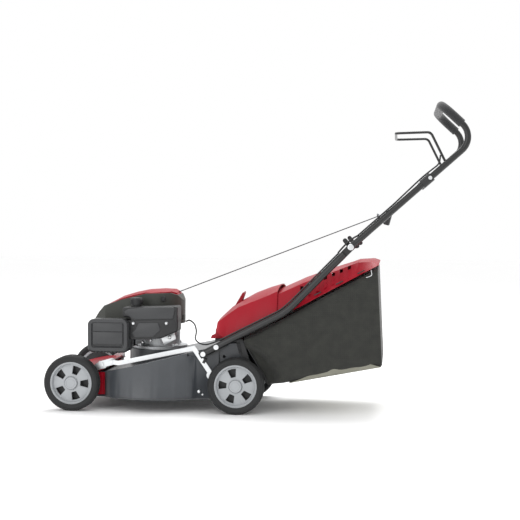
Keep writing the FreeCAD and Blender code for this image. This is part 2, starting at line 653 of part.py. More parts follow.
def cowl_form(inset, low):
    """Side outline of the blower housing crossed with its plan."""
    x, half = size.blade_x, size.cowl_half - inset
    top = [(-492 + inset, low), (-492 + inset, 288), (-477 + inset, 309 - inset), (-456, 331 - inset),
           (-400, 351 - inset), (-317, 372 - inset), (-234, 375 - inset), (-212, 366 - inset),
           (x + half, 346 - inset), (x + half, low)]
    side = side_profile(top, -300, 300)
    corner = 40
    front = -492 + inset
    tip = 72 - inset
    edges = [
        Part.Arc(Vector(x, -half, 0), Vector(x + half, 0, 0), Vector(x, half, 0)).toShape(),
        Part.LineSegment(Vector(x, half, 0), Vector(front + corner, tip, 0)).toShape(),
        Part.LineSegment(Vector(front + corner, tip, 0), Vector(front, tip - 26, 0)).toShape(),
        Part.LineSegment(Vector(front, tip - 26, 0), Vector(front, 26 - tip, 0)).toShape(),
        Part.LineSegment(Vector(front, 26 - tip, 0), Vector(front + corner, -tip, 0)).toShape(),
        Part.LineSegment(Vector(front + corner, -tip, 0), Vector(x, -half, 0)).toShape(),
    ]
    plan = Part.Face(Part.Wire(edges)).extrude(Vector(0, 0, 600))
    return side.common(plan)


def make_cowl():
    """Blower housing, open below, and the coloured cover clipped on top of it."""
    x = size.blade_x
    shell = cowl_form(0, 272).cut(cowl_form(size.cowl_wall, 200))
    outlet = rod((-232, 0, 366), (-180, 18, 386), 6)
    vents = []
    for count in range(7):
        angle = math.radians(-48 + 16 * count)
        vent = box((0, -4, 282), (200, 4, 300))
        vent.rotate(Vector(0, 0, 0), Vector(0, 0, 1), math.degrees(angle))
        vent.translate(Vector(x, 0, 0))
        vents.append(vent)
    shell = shell.cut([outlet] + vents)
    shaped("blower_housing", shell)
    outline = [(-456, 332), (-402, 360), (-360, 373), (-317, 382), (-266, 385.5), (-233, 384), (-218, 376),
               (-214, 368), (-234, 375.2), (-317, 372.2), (-400, 351.2), (-456, 331.2)]
    cover = side_profile(outline, -74, 74)
    plan = Part.makeCylinder(75, 600, Vector(x, 0, 0)).fuse(box((-460, -66, 0), (x, 66, 600)))
    cover = cover.common(plan)
    cover = cover.cut(rod((-232, 0, 366), (-180, 18, 386), 7))
    shaped("top_cover", cover.removeSplitter())


def make_starter_pulley():
    profile = [("shaft_radius + 2", "356"), ("34", "356"), ("34", "358"), ("28", "360"), ("28", "363"), ("34", "365"),
               ("34", "367"), ("shaft_radius + 2", "367")]
    turned_body("recoil_pulley", profile, ("blade_x", "0", "0"))


def rounded_block(points, low_y, high_y, corner, edge):
    """A moulded block: side outline with round corners and a softened outer face."""
    block = side_profile(points, low_y, high_y)
    block = softened(block, corner, runs_along(Vector(0, 1, 0)))
    return softened(block, edge, lambda e: abs(e.BoundBox.YMin - low_y) < 0.01 and abs(e.BoundBox.YMax - low_y) < 0.01)


def make_airbox():
    outline = [(-486, 187), (-351, 187), (-351, 294), (-486, 294)]
    y = size.airbox_y
    cover = rounded_block(outline, y, y + 66, 18, 8)
    inner = side_profile([(-481, 192), (-356, 192), (-356, 289), (-481, 289)], y + 4, y + 63)
    inner = softened(inner, 14, runs_along(Vector(0, 1, 0)))
    mouth = rod((-400, y + 50, 240), (-400, y + 80, 240), 13)
    shaped("airbox_cover", cover.cut([inner, mouth]))
    element = box((-468, y + 8, 206), (-370, y + 58, 284))
    core = box((-456, y + 20, 218), (-382, y + 60, 272))
    shaped("air_filter", softened(element, 6, runs_along(Vector(0, 1, 0))).cut(core))
    throat = rod((-400, y + 66.2, 240), (-400, -56, 240), 17).cut(rod((-400, y + 60, 240), (-400, -50, 240), 11))
    bowl = rod((-400, -92, 196), (-400, -92, 232), 19)
    flange = box((-424, -62, 216), (-376, -55.5, 264)).cut(rod((-400, -70, 240), (-400, -40, 240), 11))
    bowl = bowl.cut(rod((-400, y + 60, 240), (-400, -50, 240), 11))
    shaped("carburettor", joined(throat, bowl, flange))


def make_muffler():
    can = box((-430, 62, 200), (-350, 116, 262))
    can = softened(can, 12, runs_along(Vector(0, 1, 0)))
    can = can.cut(softened(box((-427, 65, 203), (-353, 113, 259)), 9, runs_along(Vector(0, 1, 0))))
    pipe = rod((-390, 55.5, 236), (-390, 62, 236), 12).cut(rod((-390, 50, 236), (-390, 63, 236), 9))
    guard_plate = box((-436, 120, 194), (-344, 123, 268))
    slots = [box((-428 + 17 * n, 118, 206), (-420 + 17 * n, 125, 256)) for n in range(5)]
    guard = guard_plate.cut(slots)
    shaped("muffler", joined(can, pipe, guard, box((-432, 110, 228), (-428, 121, 234)),
                             box((-352, 110, 228), (-348, 121, 234))))


def make_tank():
    y = size.tank_y
    outline = [(-374, 301), (-352, 301), (-346, 284), (-262, 233), (-250, 233), (-194, 258), (-194, 338), (-374, 333)]
    tank = side_profile(outline, y, y + 66)
    tank = softened(tank, 6, runs_along(Vector(0, 1, 0)))
    tank = softened(tank, 5, lambda e: e.BoundBox.YMax < y + 0.01)
    inner = side_profile([(-370, 305), (-349, 305), (-342, 287), (-261, 237), (-251, 237), (-198, 261), (-198, 334),
                          (-370, 329)], y + 3, y + 63)
    neck_x, neck_y = -335, y + 34
    neck = rod((neck_x, neck_y, 330), (neck_x, neck_y, 342), 14)
    tank = tank.fuse(neck).cut([inner, rod((neck_x, neck_y, 320), (neck_x, neck_y, 350), 11)])
    shaped("fuel_tank", tank.removeSplitter())
    cap = [("0", "343"), ("14.4", "343"), ("14.4", "339.5"), ("cap_radius", "339.5"), ("cap_radius", "358"),
           ("cap_radius - 3", "362"), ("0", "362")]
    turned_body("fuel_cap", cap, (f"{neck_x}", f"{neck_y}", "0"))


# ---------------------------------------------------------------- handle
def on_handle(x):
    """Height of the upper handle's centre line at x."""
    return size.fold_z + (x - size.fold_x) * math.tan(math.radians(size.handle_angle))


def hollow(path, radius):
    return swept(path, radius).cut(swept(path, radius - size.tube_wall))


def make_lower_handle():
    y = -size.handle_y
    radius = size.lower_tube_radius
    end = Vector(size.fold_x, y, size.fold_z)
    bend = Vector(159, y, 328)
    slant = (end - bend).normalize()
    points = [(-114, y, 186), (-12, y, 241), tuple(bend), tuple(end - slant * size.lap)]
    tube = hollow(route(points, [400, 220]), radius)
    tongue = rod(tuple(end - slant * (size.lap + 3)), tuple(end), radius - 0.01)
    tongue = tongue.fuse(rod((end.x, y - radius, end.z), (end.x, y + radius, end.z), radius - 0.01))
    tongue = tongue.common(box((end.x - 80, y + 0.2, end.z - 80), (end.x + 80, y + 40, end.z + 80)))
    tube = tube.fuse(tongue).cut(rod((end.x, y - 30, end.z), (end.x, y + 30, end.z), 4 + size.fit))
    for x, z in BRACKET_BOLTS:
        tube = tube.cut(rod((x, y - 30, z), (x, y + 30, z), 4 + size.fit))
    shaped("lower_tubes", both_sides(tube))
    return tube


def make_brackets(tube):
    """Pressed channels between the deck's side plates and the handle tubes."""
    outer_y = -size.handle_y + size.lower_tube_radius + 0.3
    inner_y = -size.arm_y + 2
    outline = [(-112, 178), (-112, 195.3), (-40, 233.3), (-32, 228), (-33, 212), (-60, 196), (-100, 178)]
    solid = side_profile(outline, outer_y - 0.3, inner_y)
    inner = [(-126, 160), (-126, 186), (-14, 243.6), (-14, 240), (10, 200), (0, 160)]
    channel = solid.cut(side_profile(inner, outer_y + 3, inner_y - 3))
    for x, z in BRACKET_BOLTS:
        channel = channel.cut(rod((x, outer_y - 10, z), (x, outer_y + 10, z), 4 + size.fit))
    shaped("handle_brackets", both_sides(channel.removeSplitter()))
    bolts = []
    for x, z in BRACKET_BOLTS:
        y = -size.handle_y - size.lower_tube_radius
        head = rod((x, y + 1.5, z), (x, y - 3.5, z), 8)
        shank = rod((x, y, z), (x, outer_y + 5, z), 4)
        nut = rod((x, outer_y + 3, z), (x, outer_y + 8, z), 6.5)
        bolts.append(head.fuse([shank, nut]).removeSplitter().cut([tube, channel]))
    return bolts


def make_fasteners(bracket_bolts):
    solids = []
    for bolt in bracket_bolts:
        solids += [bolt, mirrored(bolt)]
    for x, y in ENGINE_BOLTS:
        head = rod((x, y, size.seat_top + 9), (x, y, size.seat_top + 16), 6.5)
        solids.append(head.fuse(rod((x, y, size.seat_top - 8), (x, y, size.seat_top + 10), 4)).removeSplitter())
    shaped("chassis_bolts", Part.makeCompound(solids))


def make_upper_handle():
    """Folding part of the handle: two straight tubes, a bent handlebar and its foam."""
    y, radius = -size.handle_y, size.upper_tube_radius
    pivot = Vector(size.fold_x, y, size.fold_z)
    slope = math.radians(size.handle_angle)
    along = Vector(math.cos(slope), 0, math.sin(slope))
    join = Vector(size.joiner_x, y, on_handle(size.joiner_x))
    tube = rod(tuple(pivot + along * size.lap), tuple(join), radius).cut(
        rod(tuple(pivot + along * (size.lap + 10)), tuple(join + along), radius - size.tube_wall))
    tongue = rod(tuple(pivot), tuple(pivot + along * (size.lap + 3)), radius - 0.01)
    tongue = tongue.fuse(rod((pivot.x, y - radius, pivot.z), (pivot.x, y + radius, pivot.z), radius - 0.01))
    tongue = tongue.common(box((pivot.x - 60, y - 40, pivot.z - 60), (pivot.x + 60, y - 0.2, pivot.z + 60)))
    tube = tube.fuse(tongue).cut(rod((pivot.x, y - 30, pivot.z), (pivot.x, y + 30, pivot.z), 4 + size.fit))
    shaped("upper_tubes", both_sides(tube.removeSplitter()))
    corner_x = 745
    corner = (corner_x, y, on_handle(corner_x))
    top = (size.bar_top_x, y, size.bar_top_z)
    other = [(x, -side, z) for x, side, z in ((join.x, y, join.z), corner, top)]
    start = join + along * 0.5
    loop = [tuple(start), corner, top, other[2], other[1], (start.x, -y, start.z)]
    shaped("handlebar", hollow(route(loop, [55, 50, 50, 55]), radius))
    rise = (Vector(*top) - Vector(*corner)).normalize()
    foam_start = Vector(*corner) + rise * 61
    foam_end = (foam_start.x, -y, foam_start.z)
    foam_route = route([tuple(foam_start), top, other[2], foam_end], 50)
    foam = swept(foam_route, size.foam_radius).cut(swept(foam_route, radius + size.fit))
    shaped("handle_grip", foam)
    joiner = rod(tuple(join - along * 19), tuple(join + along * 19), radius + 4).cut(
        rod(tuple(join - along * 25), tuple(join + along * 25), radius + 0.05))
    ear = rod(tuple(join + along * 12 + Vector(0, -radius - 1, 0)), tuple(join + along * 12 + Vector(0, -radius - 6, 0)), 8)
    joiner = joiner.fuse(ear).removeSplitter()
    shaped("tube_joiners", both_sides(joiner))
    bolt_at = join + along * 12 + Vector(0, -radius - 6, 0)
    bolt = rod(tuple(bolt_at), tuple(bolt_at + Vector(0, -4, 0)), 6)
    shaped("joiner_bolts", both_sides(bolt))


def make_fold_hardware():
    """Carriage bolts through the lapped tubes, with a wing knob on each."""
    y, x, z = -size.handle_y, size.fold_x, size.fold_z
    head = rod((x, y - 10.3, z), (x, y - 14, z), 10)
    head = softened(head, 2.5, lambda edge: abs(edge.BoundBox.YMin - (y - 14)) < 0.01 and edge.BoundBox.YLength < 0.01)
    shank = rod((x, y - 11, z), (x, y + 34, z), 4)
    shaped("fold_bolts", both_sides(head.fuse(shank).removeSplitter()))
    for name, side in (("left", 1), ("right", -1)):
        near, far = y + 11.6, y + 27
        hub = rod((x, near, z), (x, far, z), 12)
        wings = strip([(x - 19, z + 20), (x - 4, z + 2), (x + 19, z + 3)], 7, y + 16, y + 25)
        knob = hub.fuse(wings).cut(rod((x, near - 1, z), (x, far + 1, z), 4 + size.fit)).removeSplitter()
        shaped("fold_knob_" + name, knob if side > 0 else mirrored(knob))


def make_bail():
    """Bent wire bail; its feet are pins that turn in the handlebar tubes."""
    half = size.bail_half
    foot = (size.bail_x, -size.handle_y + size.upper_tube_radius - 1.2, size.bail_z)
    points = [foot, (size.bail_x, -half, size.bail_z), (605, -half, 892), (498, -half + 8, 889)]
    points += [(x, -y, z) for x, y, z in reversed(points)]
    bail = swept(route(points, [3.2, 18, 14, 14, 18, 3.2]), size.bail_wire)
    shaped("brake_bail", bail)


def make_rope_guide():
    """Wire eye on the right tube that holds the starter grip within reach."""
    x, y = 440, size.handle_y
    z = on_handle(x)
    eye = Part.makeTorus(8, 2.2, Vector(x, y - 16, z + 25), Vector(0.9, 0.35, 0.35))
    post = rod((x, y - 16, z + 14), (x, y - 14, z + 17.2), 2.2)
    path = route([(x, y - 16, z + 16.6), (x, y - 16, z + 6), (x, y - 8.2, z + 2)], 4)
    post = swept(path, 2.2)
    tube = rod((x - 40, y, on_handle(x - 40)), (x + 40, y, on_handle(x + 40)), size.upper_tube_radius)
    shaped("rope_guide", eye.fuse(post).removeSplitter().cut(tube))


def make_starter():
    eye = Vector(440, size.handle_y - 16, on_handle(440) + 25)
    outlet = Vector(-222, 1, 373)
    shaped("starter_rope", rod(tuple(outlet), tuple(eye), size.rope_radius))
    top = Vector(479, size.handle_y - 26, 647)
    bottom = Vector(466, size.handle_y - 26, 599)
    bar = rod(tuple(bottom), tuple(top), 11)
    bar = softened(bar, 5, lambda edge: isinstance(edge.Curve, Part.Circle))
    shaped("starter_grip", bar)


def make_cables():
    """Sheathed cable from the flywheel brake to the bail, in two lengths with a free span at the fold."""
    y = -size.handle_y
    off = size.lower_tube_radius + size.cable_radius + 0.4
    low_run = Vector(159 + 12, 0, 328 - 241).normalize()
    up = Vector(-low_run.z, 0, low_run.x)
    steep = Vector(size.fold_x - 159, 0, size.fold_z - 328).normalize()
    steep_up = Vector(-steep.z, 0, steep.x)
    engine_end = [(-186, -40, 280), (-172, -62, 287), (-150, -84, 276), (-140, -108, 252), (-142, -134, 234),
                  (-128, -164, 224), (-100, -188, 218)]
    along = [Vector(-55, y, 219) + up * off, Vector(-6, y, 244) + up * off, Vector(50, y, 272.5) + up * off,
             Vector(104, y, 300) + up * off, Vector(150, y, 323.4) + up * off]
    along += [Vector(159, y, 328) + steep * run + steep_up * off for run in (40, 100, 160, 220, 250)]
    lower = engine_end + [tuple(point) for point in along]
    lower = straightened(lower)
    bends = easy_bends(lower)
    shaped("brake_cable_lower", swept(route(lower, bends), size.cable_radius))
    slope = math.radians(size.handle_angle)
    out = Vector(math.cos(slope), 0, math.sin(slope))
    out_up = Vector(-out.z, 0, out.x)
    off = size.upper_tube_radius + size.cable_radius + 0.4
    start = Vector(size.fold_x, y, size.fold_z)
    runs = [start + out * 40 + out_up * off, start + out * 190 + out_up * off]
    joiner = start + out * 313 + out_up * (off + 5)
    runs += [joiner, start + out * 375 + out_up * (off + 1), Vector(size.bail_x - 14, y + 6, size.bail_z + 16)]
    upper = [tuple(point) for point in runs]
    bends = easy_bends(upper)
    shaped("brake_cable_upper", swept(route(upper, [min(bend, 900) for bend in bends]), size.cable_radius))


def straightened(points):
    """Leave out the points that lie in line with both neighbours."""
    kept = [points[0]]
    for here, after in zip(points[1:], points[2:]):
        before = Vector(*kept[-1])
        turn = (Vector(*here) - before).getAngle(Vector(*after) - Vector(*here))
        if turn > 0.01:
            kept.append(here)
    return kept + [points[-1]]


# ---------------------------------------------------------------- flap and bag
def hood(stations, half, shoulder, inset):
    """A ruled shell across the mower: stations are (x, lower edge, shoulder, crown)."""
    wires = []
    for x, edge, side, crown in stations:
        reach, brow = half - inset, shoulder - inset
        low = edge - 4 * inset
        corners = [(-reach, low), (-reach, edge), (-brow, side - inset), (-brow * 0.55, crown - 4 - inset),
                   (0, crown - inset), (brow * 0.55, crown - 4 - inset), (brow, side - inset), (reach, edge),
                   (reach, low)]
        if not inset:
            corners[0], corners[-1] = (-reach, edge - 0.01), (reach, edge - 0.01)
        points = [Vector(x, y, z) for y, z in corners]
        wires.append(Part.makePolygon(points + points[:1]))
    return Part.makeLoft(wires, True, True)


FLAP = [(-66, 262, 288, 300), (-36, 238, 311, 328), (0, 251, 336, 351), (45, 270, 355, 376), (91, 289, 373, 394),
        (127, 304, 390, 405)]
LID = [(121, 303, 377, 388), (211, 349, 418, 429), (300, 398, 452, 461), (381, 441, 484, 487), (430, 468, 487, 491),
       (448, 477, 481, 482)]


def make_flap():
    """Hinged rear flap that closes the chute or rests on the bag."""
    outer = hood(FLAP, 185, 150, 0)
    wall = size.lid_wall
    inner_rows = [(FLAP[0][0] + wall, *FLAP[0][1:])] + FLAP[1:-1] + [(FLAP[-1][0] + 5, *FLAP[-1][1:])]
    shell = outer.cut(hood(inner_rows, 185, 150, wall))
    tab = side_profile([(-27, 331), (-2, 374), (3, 378), (5, 374), (-4, 348), (-8, 340)], -26, 26)
    lugs = []
    x, z = size.flap_x, size.flap_z
    for side in (-1, 1):
        lug = side_profile([(x - 8, z - 2), (x, z - 8), (x + 8, z - 2), (x + 6, z + 36), (x - 5, z + 30)], -4, 4)
        lug.translate(Vector(0, side * 132, 0))
        lugs.append(lug)
    shell = shell.fuse([tab] + lugs)
    shell = shell.cut(rod((x, -170, z), (x, 170, z), 3 + size.fit))
    window = box((-72, -152.5, 222), (-36, -137, 273))
    spring_room = rod((x, 94, z), (x, 122, z), 6.5)
    shell = shell.cut([window, mirrored(window), spring_room])
    shaped("rear_flap", shell.removeSplitter())


def make_flap_spring():
    """Torsion spring round the flap rod, drawn as its closed coil with two legs."""
    x, z = size.flap_x, size.flap_z
    coil = ring((x, 96, z), (x, 120, z), 5.5, 3.3)
    leg = rod((x + 4.4, 118, z), (x + 20, 118, z + 24), 1)
    rest = rod((x + 4.4, 98, z), (x + 8, 98, z - 20), 1)
    shaped("flap_spring", coil.fuse([leg, rest]).removeSplitter())


def cloth_form(inset):
    """Outline of the bag, narrower where it passes between the rear wheels."""
    outline = [(17, 238), (24, 213), (95, 90), (456, 164), (446, 470), (129, 298)]
    if inset:
        outline = [(0, 262), (0, 92), (97, 90.5 + inset), (456 - inset, 164 + inset), (446 - inset, 480), (129, 330)]
    throat = size.bag_throat - inset
    half = size.bag_half - inset
    clear = 112 + inset
    wide = side_profile(outline, -half, half)
    well = rod((0, -300, size.wheel_radius), (0, 300, size.wheel_radius), clear)
    return wide.cut(well).fuse(side_profile(outline, -throat, throat))


def make_bag():
    shaped("bag_fabric", cloth_form(0).cut(cloth_form(size.cloth)))
    outer = hood(LID, 180, 148, 0)
    thick = size.lid_wall
    inner_rows = [(LID[0][0] - 5, *LID[0][1:])] + LID[1:-1] + [(LID[-1][0] - thick, *LID[-1][1:])]
    lid = outer.cut(hood(inner_rows, 180, 148, thick))
    slots = []
    for count in range(7):
        x = 205 + 25 * count
        z = 405 + count * 11
        slot = box((x - 5, -200, z - 30), (x + 5, -140, z + 2))
        slots += [slot, mirrored(slot)]
    shaped("bag_lid", lid.cut(slots))
    wire = 3
    inset = size.bag_throat - size.cloth - wire - 0.4
    low, high = Vector(97, 0, 98), Vector(30, 0, 212)
    loop = [(low.x, -0.5, low.z), (low.x, inset, low.z), (high.x, inset, high.z), (high.x, -inset, high.z),
            (low.x, -inset, low.z), (low.x, -1, low.z)]
    frame = swept(route(loop, 16), wire)
    rail = [(34, inset, 215), (128, inset, 293), (438, inset, 461), (438, -inset, 461), (128, -inset, 293),
            (34, -inset, 215)]
    frame = frame.fuse(swept(route(rail, [60, 16, 16, 60]), wire))
    shaped("bag_frame", frame.removeSplitter())


make_deck()
make_front_mask()
make_chute_frame()
make_flap_rod()
make_wheels()
make_axles()
make_pivots()
make_height_link()
make_height_lever()
make_quadrant()
make_cylinder(make_crankcase())
make_crank_train()
make_cowl()
make_starter_pulley()
make_airbox()
make_muffler()
make_tank()
lower_tube = make_lower_handle()
bracket_bolts = make_brackets(lower_tube)
make_fasteners(bracket_bolts)
make_upper_handle()
make_fold_hardware()
make_bail()
make_rope_guide()
make_starter()
make_cables()
make_flap()
make_flap_spring()
make_bag()
doc.recompute()

for obj in doc.Objects:
    if "Invalid" in obj.State or "Error" in obj.State:
        raise RuntimeError(f"{obj.Label} failed: {obj.State}")
for piece in pieces:
    if piece.Shape.isNull() or not piece.Shape.isValid():
        raise RuntimeError(f"{piece.Label} has no valid shape")

os.makedirs("parts", exist_ok=True)
for piece in pieces:
    piece.Shape.exportStep(f"parts/{piece.Label}.step")
print(len(pieces), "pieces written")
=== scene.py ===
"""Looks of a push lawn mower: metres, +Z up, front towards -X, the operator's left towards -Y."""
import json
import math

import bmesh
import bpy
from mathutils import Matrix, Vector, noise


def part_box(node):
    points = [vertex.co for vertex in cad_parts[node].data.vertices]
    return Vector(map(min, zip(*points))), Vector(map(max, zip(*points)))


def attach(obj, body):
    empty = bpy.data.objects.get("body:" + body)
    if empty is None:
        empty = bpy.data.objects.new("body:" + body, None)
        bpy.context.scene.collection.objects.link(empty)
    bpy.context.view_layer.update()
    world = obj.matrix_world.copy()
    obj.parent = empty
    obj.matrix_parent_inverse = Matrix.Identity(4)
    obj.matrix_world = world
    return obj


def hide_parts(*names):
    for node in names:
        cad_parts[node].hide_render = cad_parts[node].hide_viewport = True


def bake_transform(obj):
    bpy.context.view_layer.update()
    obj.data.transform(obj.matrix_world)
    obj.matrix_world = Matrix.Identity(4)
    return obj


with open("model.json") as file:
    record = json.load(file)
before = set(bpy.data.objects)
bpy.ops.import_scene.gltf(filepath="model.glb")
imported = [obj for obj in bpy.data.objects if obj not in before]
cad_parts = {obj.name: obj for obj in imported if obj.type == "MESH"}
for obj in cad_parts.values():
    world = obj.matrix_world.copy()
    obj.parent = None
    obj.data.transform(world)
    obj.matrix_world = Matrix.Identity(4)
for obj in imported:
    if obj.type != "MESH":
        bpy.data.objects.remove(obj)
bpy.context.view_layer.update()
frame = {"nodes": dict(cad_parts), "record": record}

# ---------------------------------------------------------------- camera and studio
# A long lens on the mower's left, a little behind the middle, so the far wheels
# and tubes peep out beyond the near ones. White card under it, white all round,
# and broad soft lamps.
camera_data = bpy.data.cameras.new("camera")
camera_data.lens = 84.46
camera_data.clip_end = 50
camera = bpy.data.objects.new("camera", camera_data)
camera.location = (0.4542, -4.0108, 0.6503)
camera.rotation_euler = [math.radians(angle) for angle in (87.627, -0.232, 6.448)]
bpy.context.scene.collection.objects.link(camera)
bpy.context.scene.camera = camera


def linear(code):
    """An sRGB hex colour as linear RGBA."""
    channels = [int(code[start:start + 2], 16) / 255 for start in (1, 3, 5)]
    return [c / 12.92 if c <= 0.04045 else ((c + 0.055) / 1.055) ** 2.4 for c in channels] + [1.0]


def add(tree, kind, inputs=None, **settings):
    """Add a node with its settings; an input is a value or another node's socket."""
    made = tree.nodes.new(kind)
    for name, setting in settings.items():
        setattr(made, name, setting)
    for name, given in (inputs or {}).items():
        if isinstance(given, bpy.types.NodeSocket):
            tree.links.new(given, made.inputs[name])
        else:
            made.inputs[name].default_value = given
    return made


def surface(name, dark, light, patch, low, high, **sockets):
    """One Principled shader: colour wanders between two tones in patches, roughness with it."""
    material = bpy.data.materials.new(name)
    material.use_nodes = True
    tree = material.node_tree
    shader = tree.nodes["Principled BSDF"]
    for socket, given in sockets.items():
        shader.inputs[socket.replace("_", " ")].default_value = given
    point = add(tree, "ShaderNodeTexCoord").outputs["Object"]
    cloud = add(tree, "ShaderNodeTexNoise", {"Vector": point, "Scale": 1 / patch,
                                             "Detail": 3.0}).outputs["Fac"]
    # Sockets 0, 6 and 7 of an RGBA mix are its factor and its two colours.
    blend = add(tree, "ShaderNodeMix", {0: cloud, 6: linear(dark), 7: linear(light)}, data_type="RGBA")
    tree.links.new(blend.outputs[2], shader.inputs["Base Color"])
    gloss = add(tree, "ShaderNodeMapRange", {"Value": cloud, "To Min": low, "To Max": high})
    tree.links.new(gloss.outputs["Result"], shader.inputs["Roughness"])
    return material, tree, shader, point


def placed(form, name, material, smooth=30):
    """Turn a bmesh in metres into an object with one finish and crisp edges past an angle."""
    mesh = bpy.data.meshes.new(name)
    form.to_mesh(mesh)
    form.free()
    mesh.shade_smooth()
    mesh.set_sharp_from_angle(angle=math.radians(smooth))
    mesh.materials.append(material)
    made = bpy.data.objects.new(name, mesh)
    bpy.context.scene.collection.objects.link(made)
    return made


card = bmesh.new()
bmesh.ops.create_grid(card, x_segments=1, y_segments=1, size=12)
# Matt white card: no gloss, so shadows on it stay soft and grey.
white_card = surface("matt_white_card", "#FDFDFD", "#FFFFFF", 0.4, 0.9, 0.95)[0]
placed(card, "floor", white_card)
for lamp_name, lamp_at, lamp_size, watts in [("overhead", (0.1, 1.3, 3.2), 2.4, 85),
                                             ("left_front", (-2.0, -3.6, 1.6), 2.4, 34),
                                             ("right_rear", (2.6, 2.4, 2.2), 2.0, 18)]:
    lamp_data = bpy.data.lights.new(lamp_name, "AREA")
    lamp_data.size = lamp_size
    lamp_data.energy = watts
    lamp = bpy.data.objects.new(lamp_name, lamp_data)
    lamp.location = lamp_at
    lamp.rotation_euler = (Vector((0, 0, 0.3)) - Vector(lamp_at)).to_track_quat("-Z", "Y").to_euler()
    bpy.context.scene.collection.objects.link(lamp)
world = bpy.data.worlds.new("studio")
world.use_nodes = True
world.node_tree.nodes["Background"].inputs["Color"].default_value = (1, 1, 1, 1)
world.node_tree.nodes["Background"].inputs["Strength"].default_value = 1.0
bpy.context.scene.world = world
bpy.context.scene.view_settings.view_transform = "Standard"

# ---------------------------------------------------------------- deck
# The mower's body: one sheet steel pressing over the blade, shot-blasted and
# powder coated anthracite; everything else bolts to it. Its rolled edges are
# broken by a hair, as a press leaves them.
body_of = {node: body for body, nodes in frame["record"]["behaviour"]["bodies"].items() for node in nodes}


def skin_mesh(node):
    """A copy of a CAD node with its loose triangles joined and its flats made whole."""
    form = bmesh.new()
    form.from_mesh(frame["nodes"][node].data)
    bmesh.ops.remove_doubles(form, verts=form.verts, dist=1e-6)
    bmesh.ops.dissolve_limit(form, angle_limit=math.radians(0.5), verts=form.verts, edges=form.edges)
    return form


def stands_for(piece, *nodes):
    """The piece rides with the body of the CAD nodes it replaces, and those nodes are hidden."""
    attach(piece, body_of[nodes[0]])
    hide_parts(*nodes)
    return piece


def joins(piece, node):
    """A detail the CAD leaves out: it rides with a node's body."""
    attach(piece, body_of[node])
    return piece


def broken_edges(piece, width, angle=38, segments=2):
    edge = piece.modifiers.new("edge", "BEVEL")
    edge.width = width
    edge.segments = segments
    edge.limit_method = "ANGLE"
    edge.angle_limit = math.radians(angle)
    edge.harden_normals = True
    return piece


def skinned(node, material, bevel=0.0007, form=None):
    piece = placed(form or skin_mesh(node), node + "_skin", material, 32)
    if bevel:
        broken_edges(piece, bevel)
    return stands_for(piece, node)



def relief(tree, shader, pattern, depth, strength=1.0):
    bump = add(tree, "ShaderNodeBump", {"Height": pattern, "Distance": depth, "Strength": strength})
    tree.links.new(bump.outputs["Normal"], shader.inputs["Normal"])


def grainy(name, dark, light, patch, low, high, grain, depth, **sockets):
    """A surface with an even fine tooth: grain apart, depth deep, both in metres."""
    material, tree, shader, point = surface(name, dark, light, patch, low, high, **sockets)
    tooth = add(tree, "ShaderNodeTexNoise", {"Vector": point, "Scale": 1 / grain, "Detail": 3.0})
    relief(tree, shader, tooth.outputs["Fac"], depth)
    return material


# Powder coat: a baked film with a faint orange peel and a broad soft highlight.
anthracite = grainy("anthracite_powder_coat_on_steel", "#34373B", "#3F4348", 0.06, 0.3, 0.42, 0.0012, 0.0001,
                    IOR=1.5, Coat_Weight=0.3, Coat_Roughness=0.25)
skinned("deck_shell", anthracite, 0.0012)


def lathe(profile, centre, axis, steps=48):
    """Spin (radius, along) pairs in metres round an axis through centre; ends on the axis close."""
    form = bmesh.new()
    axis = Vector(axis).normalized()
    side = axis.orthogonal().normalized()
    ring = [form.verts.new(Vector(centre) + side * radius + axis * along) for radius, along in profile]
    edges = [form.edges.new(pair) for pair in zip(ring, ring[1:])]
    bmesh.ops.spin(form, geom=ring + edges, cent=centre, axis=axis, angle=math.tau, steps=steps,
                   use_merge=True)
    bmesh.ops.remove_doubles(form, verts=form.verts, dist=1e-6)
    bmesh.ops.recalc_face_normals(form, faces=form.faces)
    return form


# Bright zinc plate: pale, slightly cloudy metal, as the bath leaves it.
zinc = grainy("bright_zinc_plate", "#C9CBCD", "#E8EAEB", 0.03, 0.28, 0.42, 0.0008, 0.00003, Metallic=1.0)
for screw_name, size, screw_x, screw_z in [("deck_screw_upper", 0.005, -0.1694, 0.0721),
                                           ("deck_screw_lower", 0.0032, -0.1572, 0.0628)]:
    head = lathe([(0, -0.0032), (size * 0.75, -0.0028), (size, -0.0012), (size, 0.0045), (0, 0.0045)],
                 (screw_x, -0.2045, screw_z), (0, 1, 0), 20)
    joins(placed(head, screw_name, zinc), "deck_shell")

# ---------------------------------------------------------------- front mask
# The red nose that wraps the front of the deck, moulded in polypropylene and
# clipped over the steel flange.
# Polypropylene: deep crimson with a spark-eroded grain and a soft satin sheen.
crimson = grainy("crimson_moulded_polypropylene", "#8A0017", "#9A021C", 0.08, 0.36, 0.48, 0.0011, 0.00012,
                 IOR=1.49, Specular_IOR_Level=0.28)
mask = skin_mesh("front_mask")
# The cheeks stop a finger's width behind the brow, where the steel flank begins.
bmesh.ops.bisect_plane(mask, geom=mask.verts[:] + mask.edges[:] + mask.faces[:], plane_co=(-0.487, 0, 0),
                       plane_no=(1, 0, 0), clear_outer=True)
bmesh.ops.holes_fill(mask, edges=[edge for edge in mask.edges if edge.is_boundary])
skinned("front_mask", crimson, 0.0008, mask)

# ---------------------------------------------------------------- chute frame and flap rod
# The black nylon ring at the back of the deck that the bag's mouth sits on, with
# two ears for the flap's steel rod.

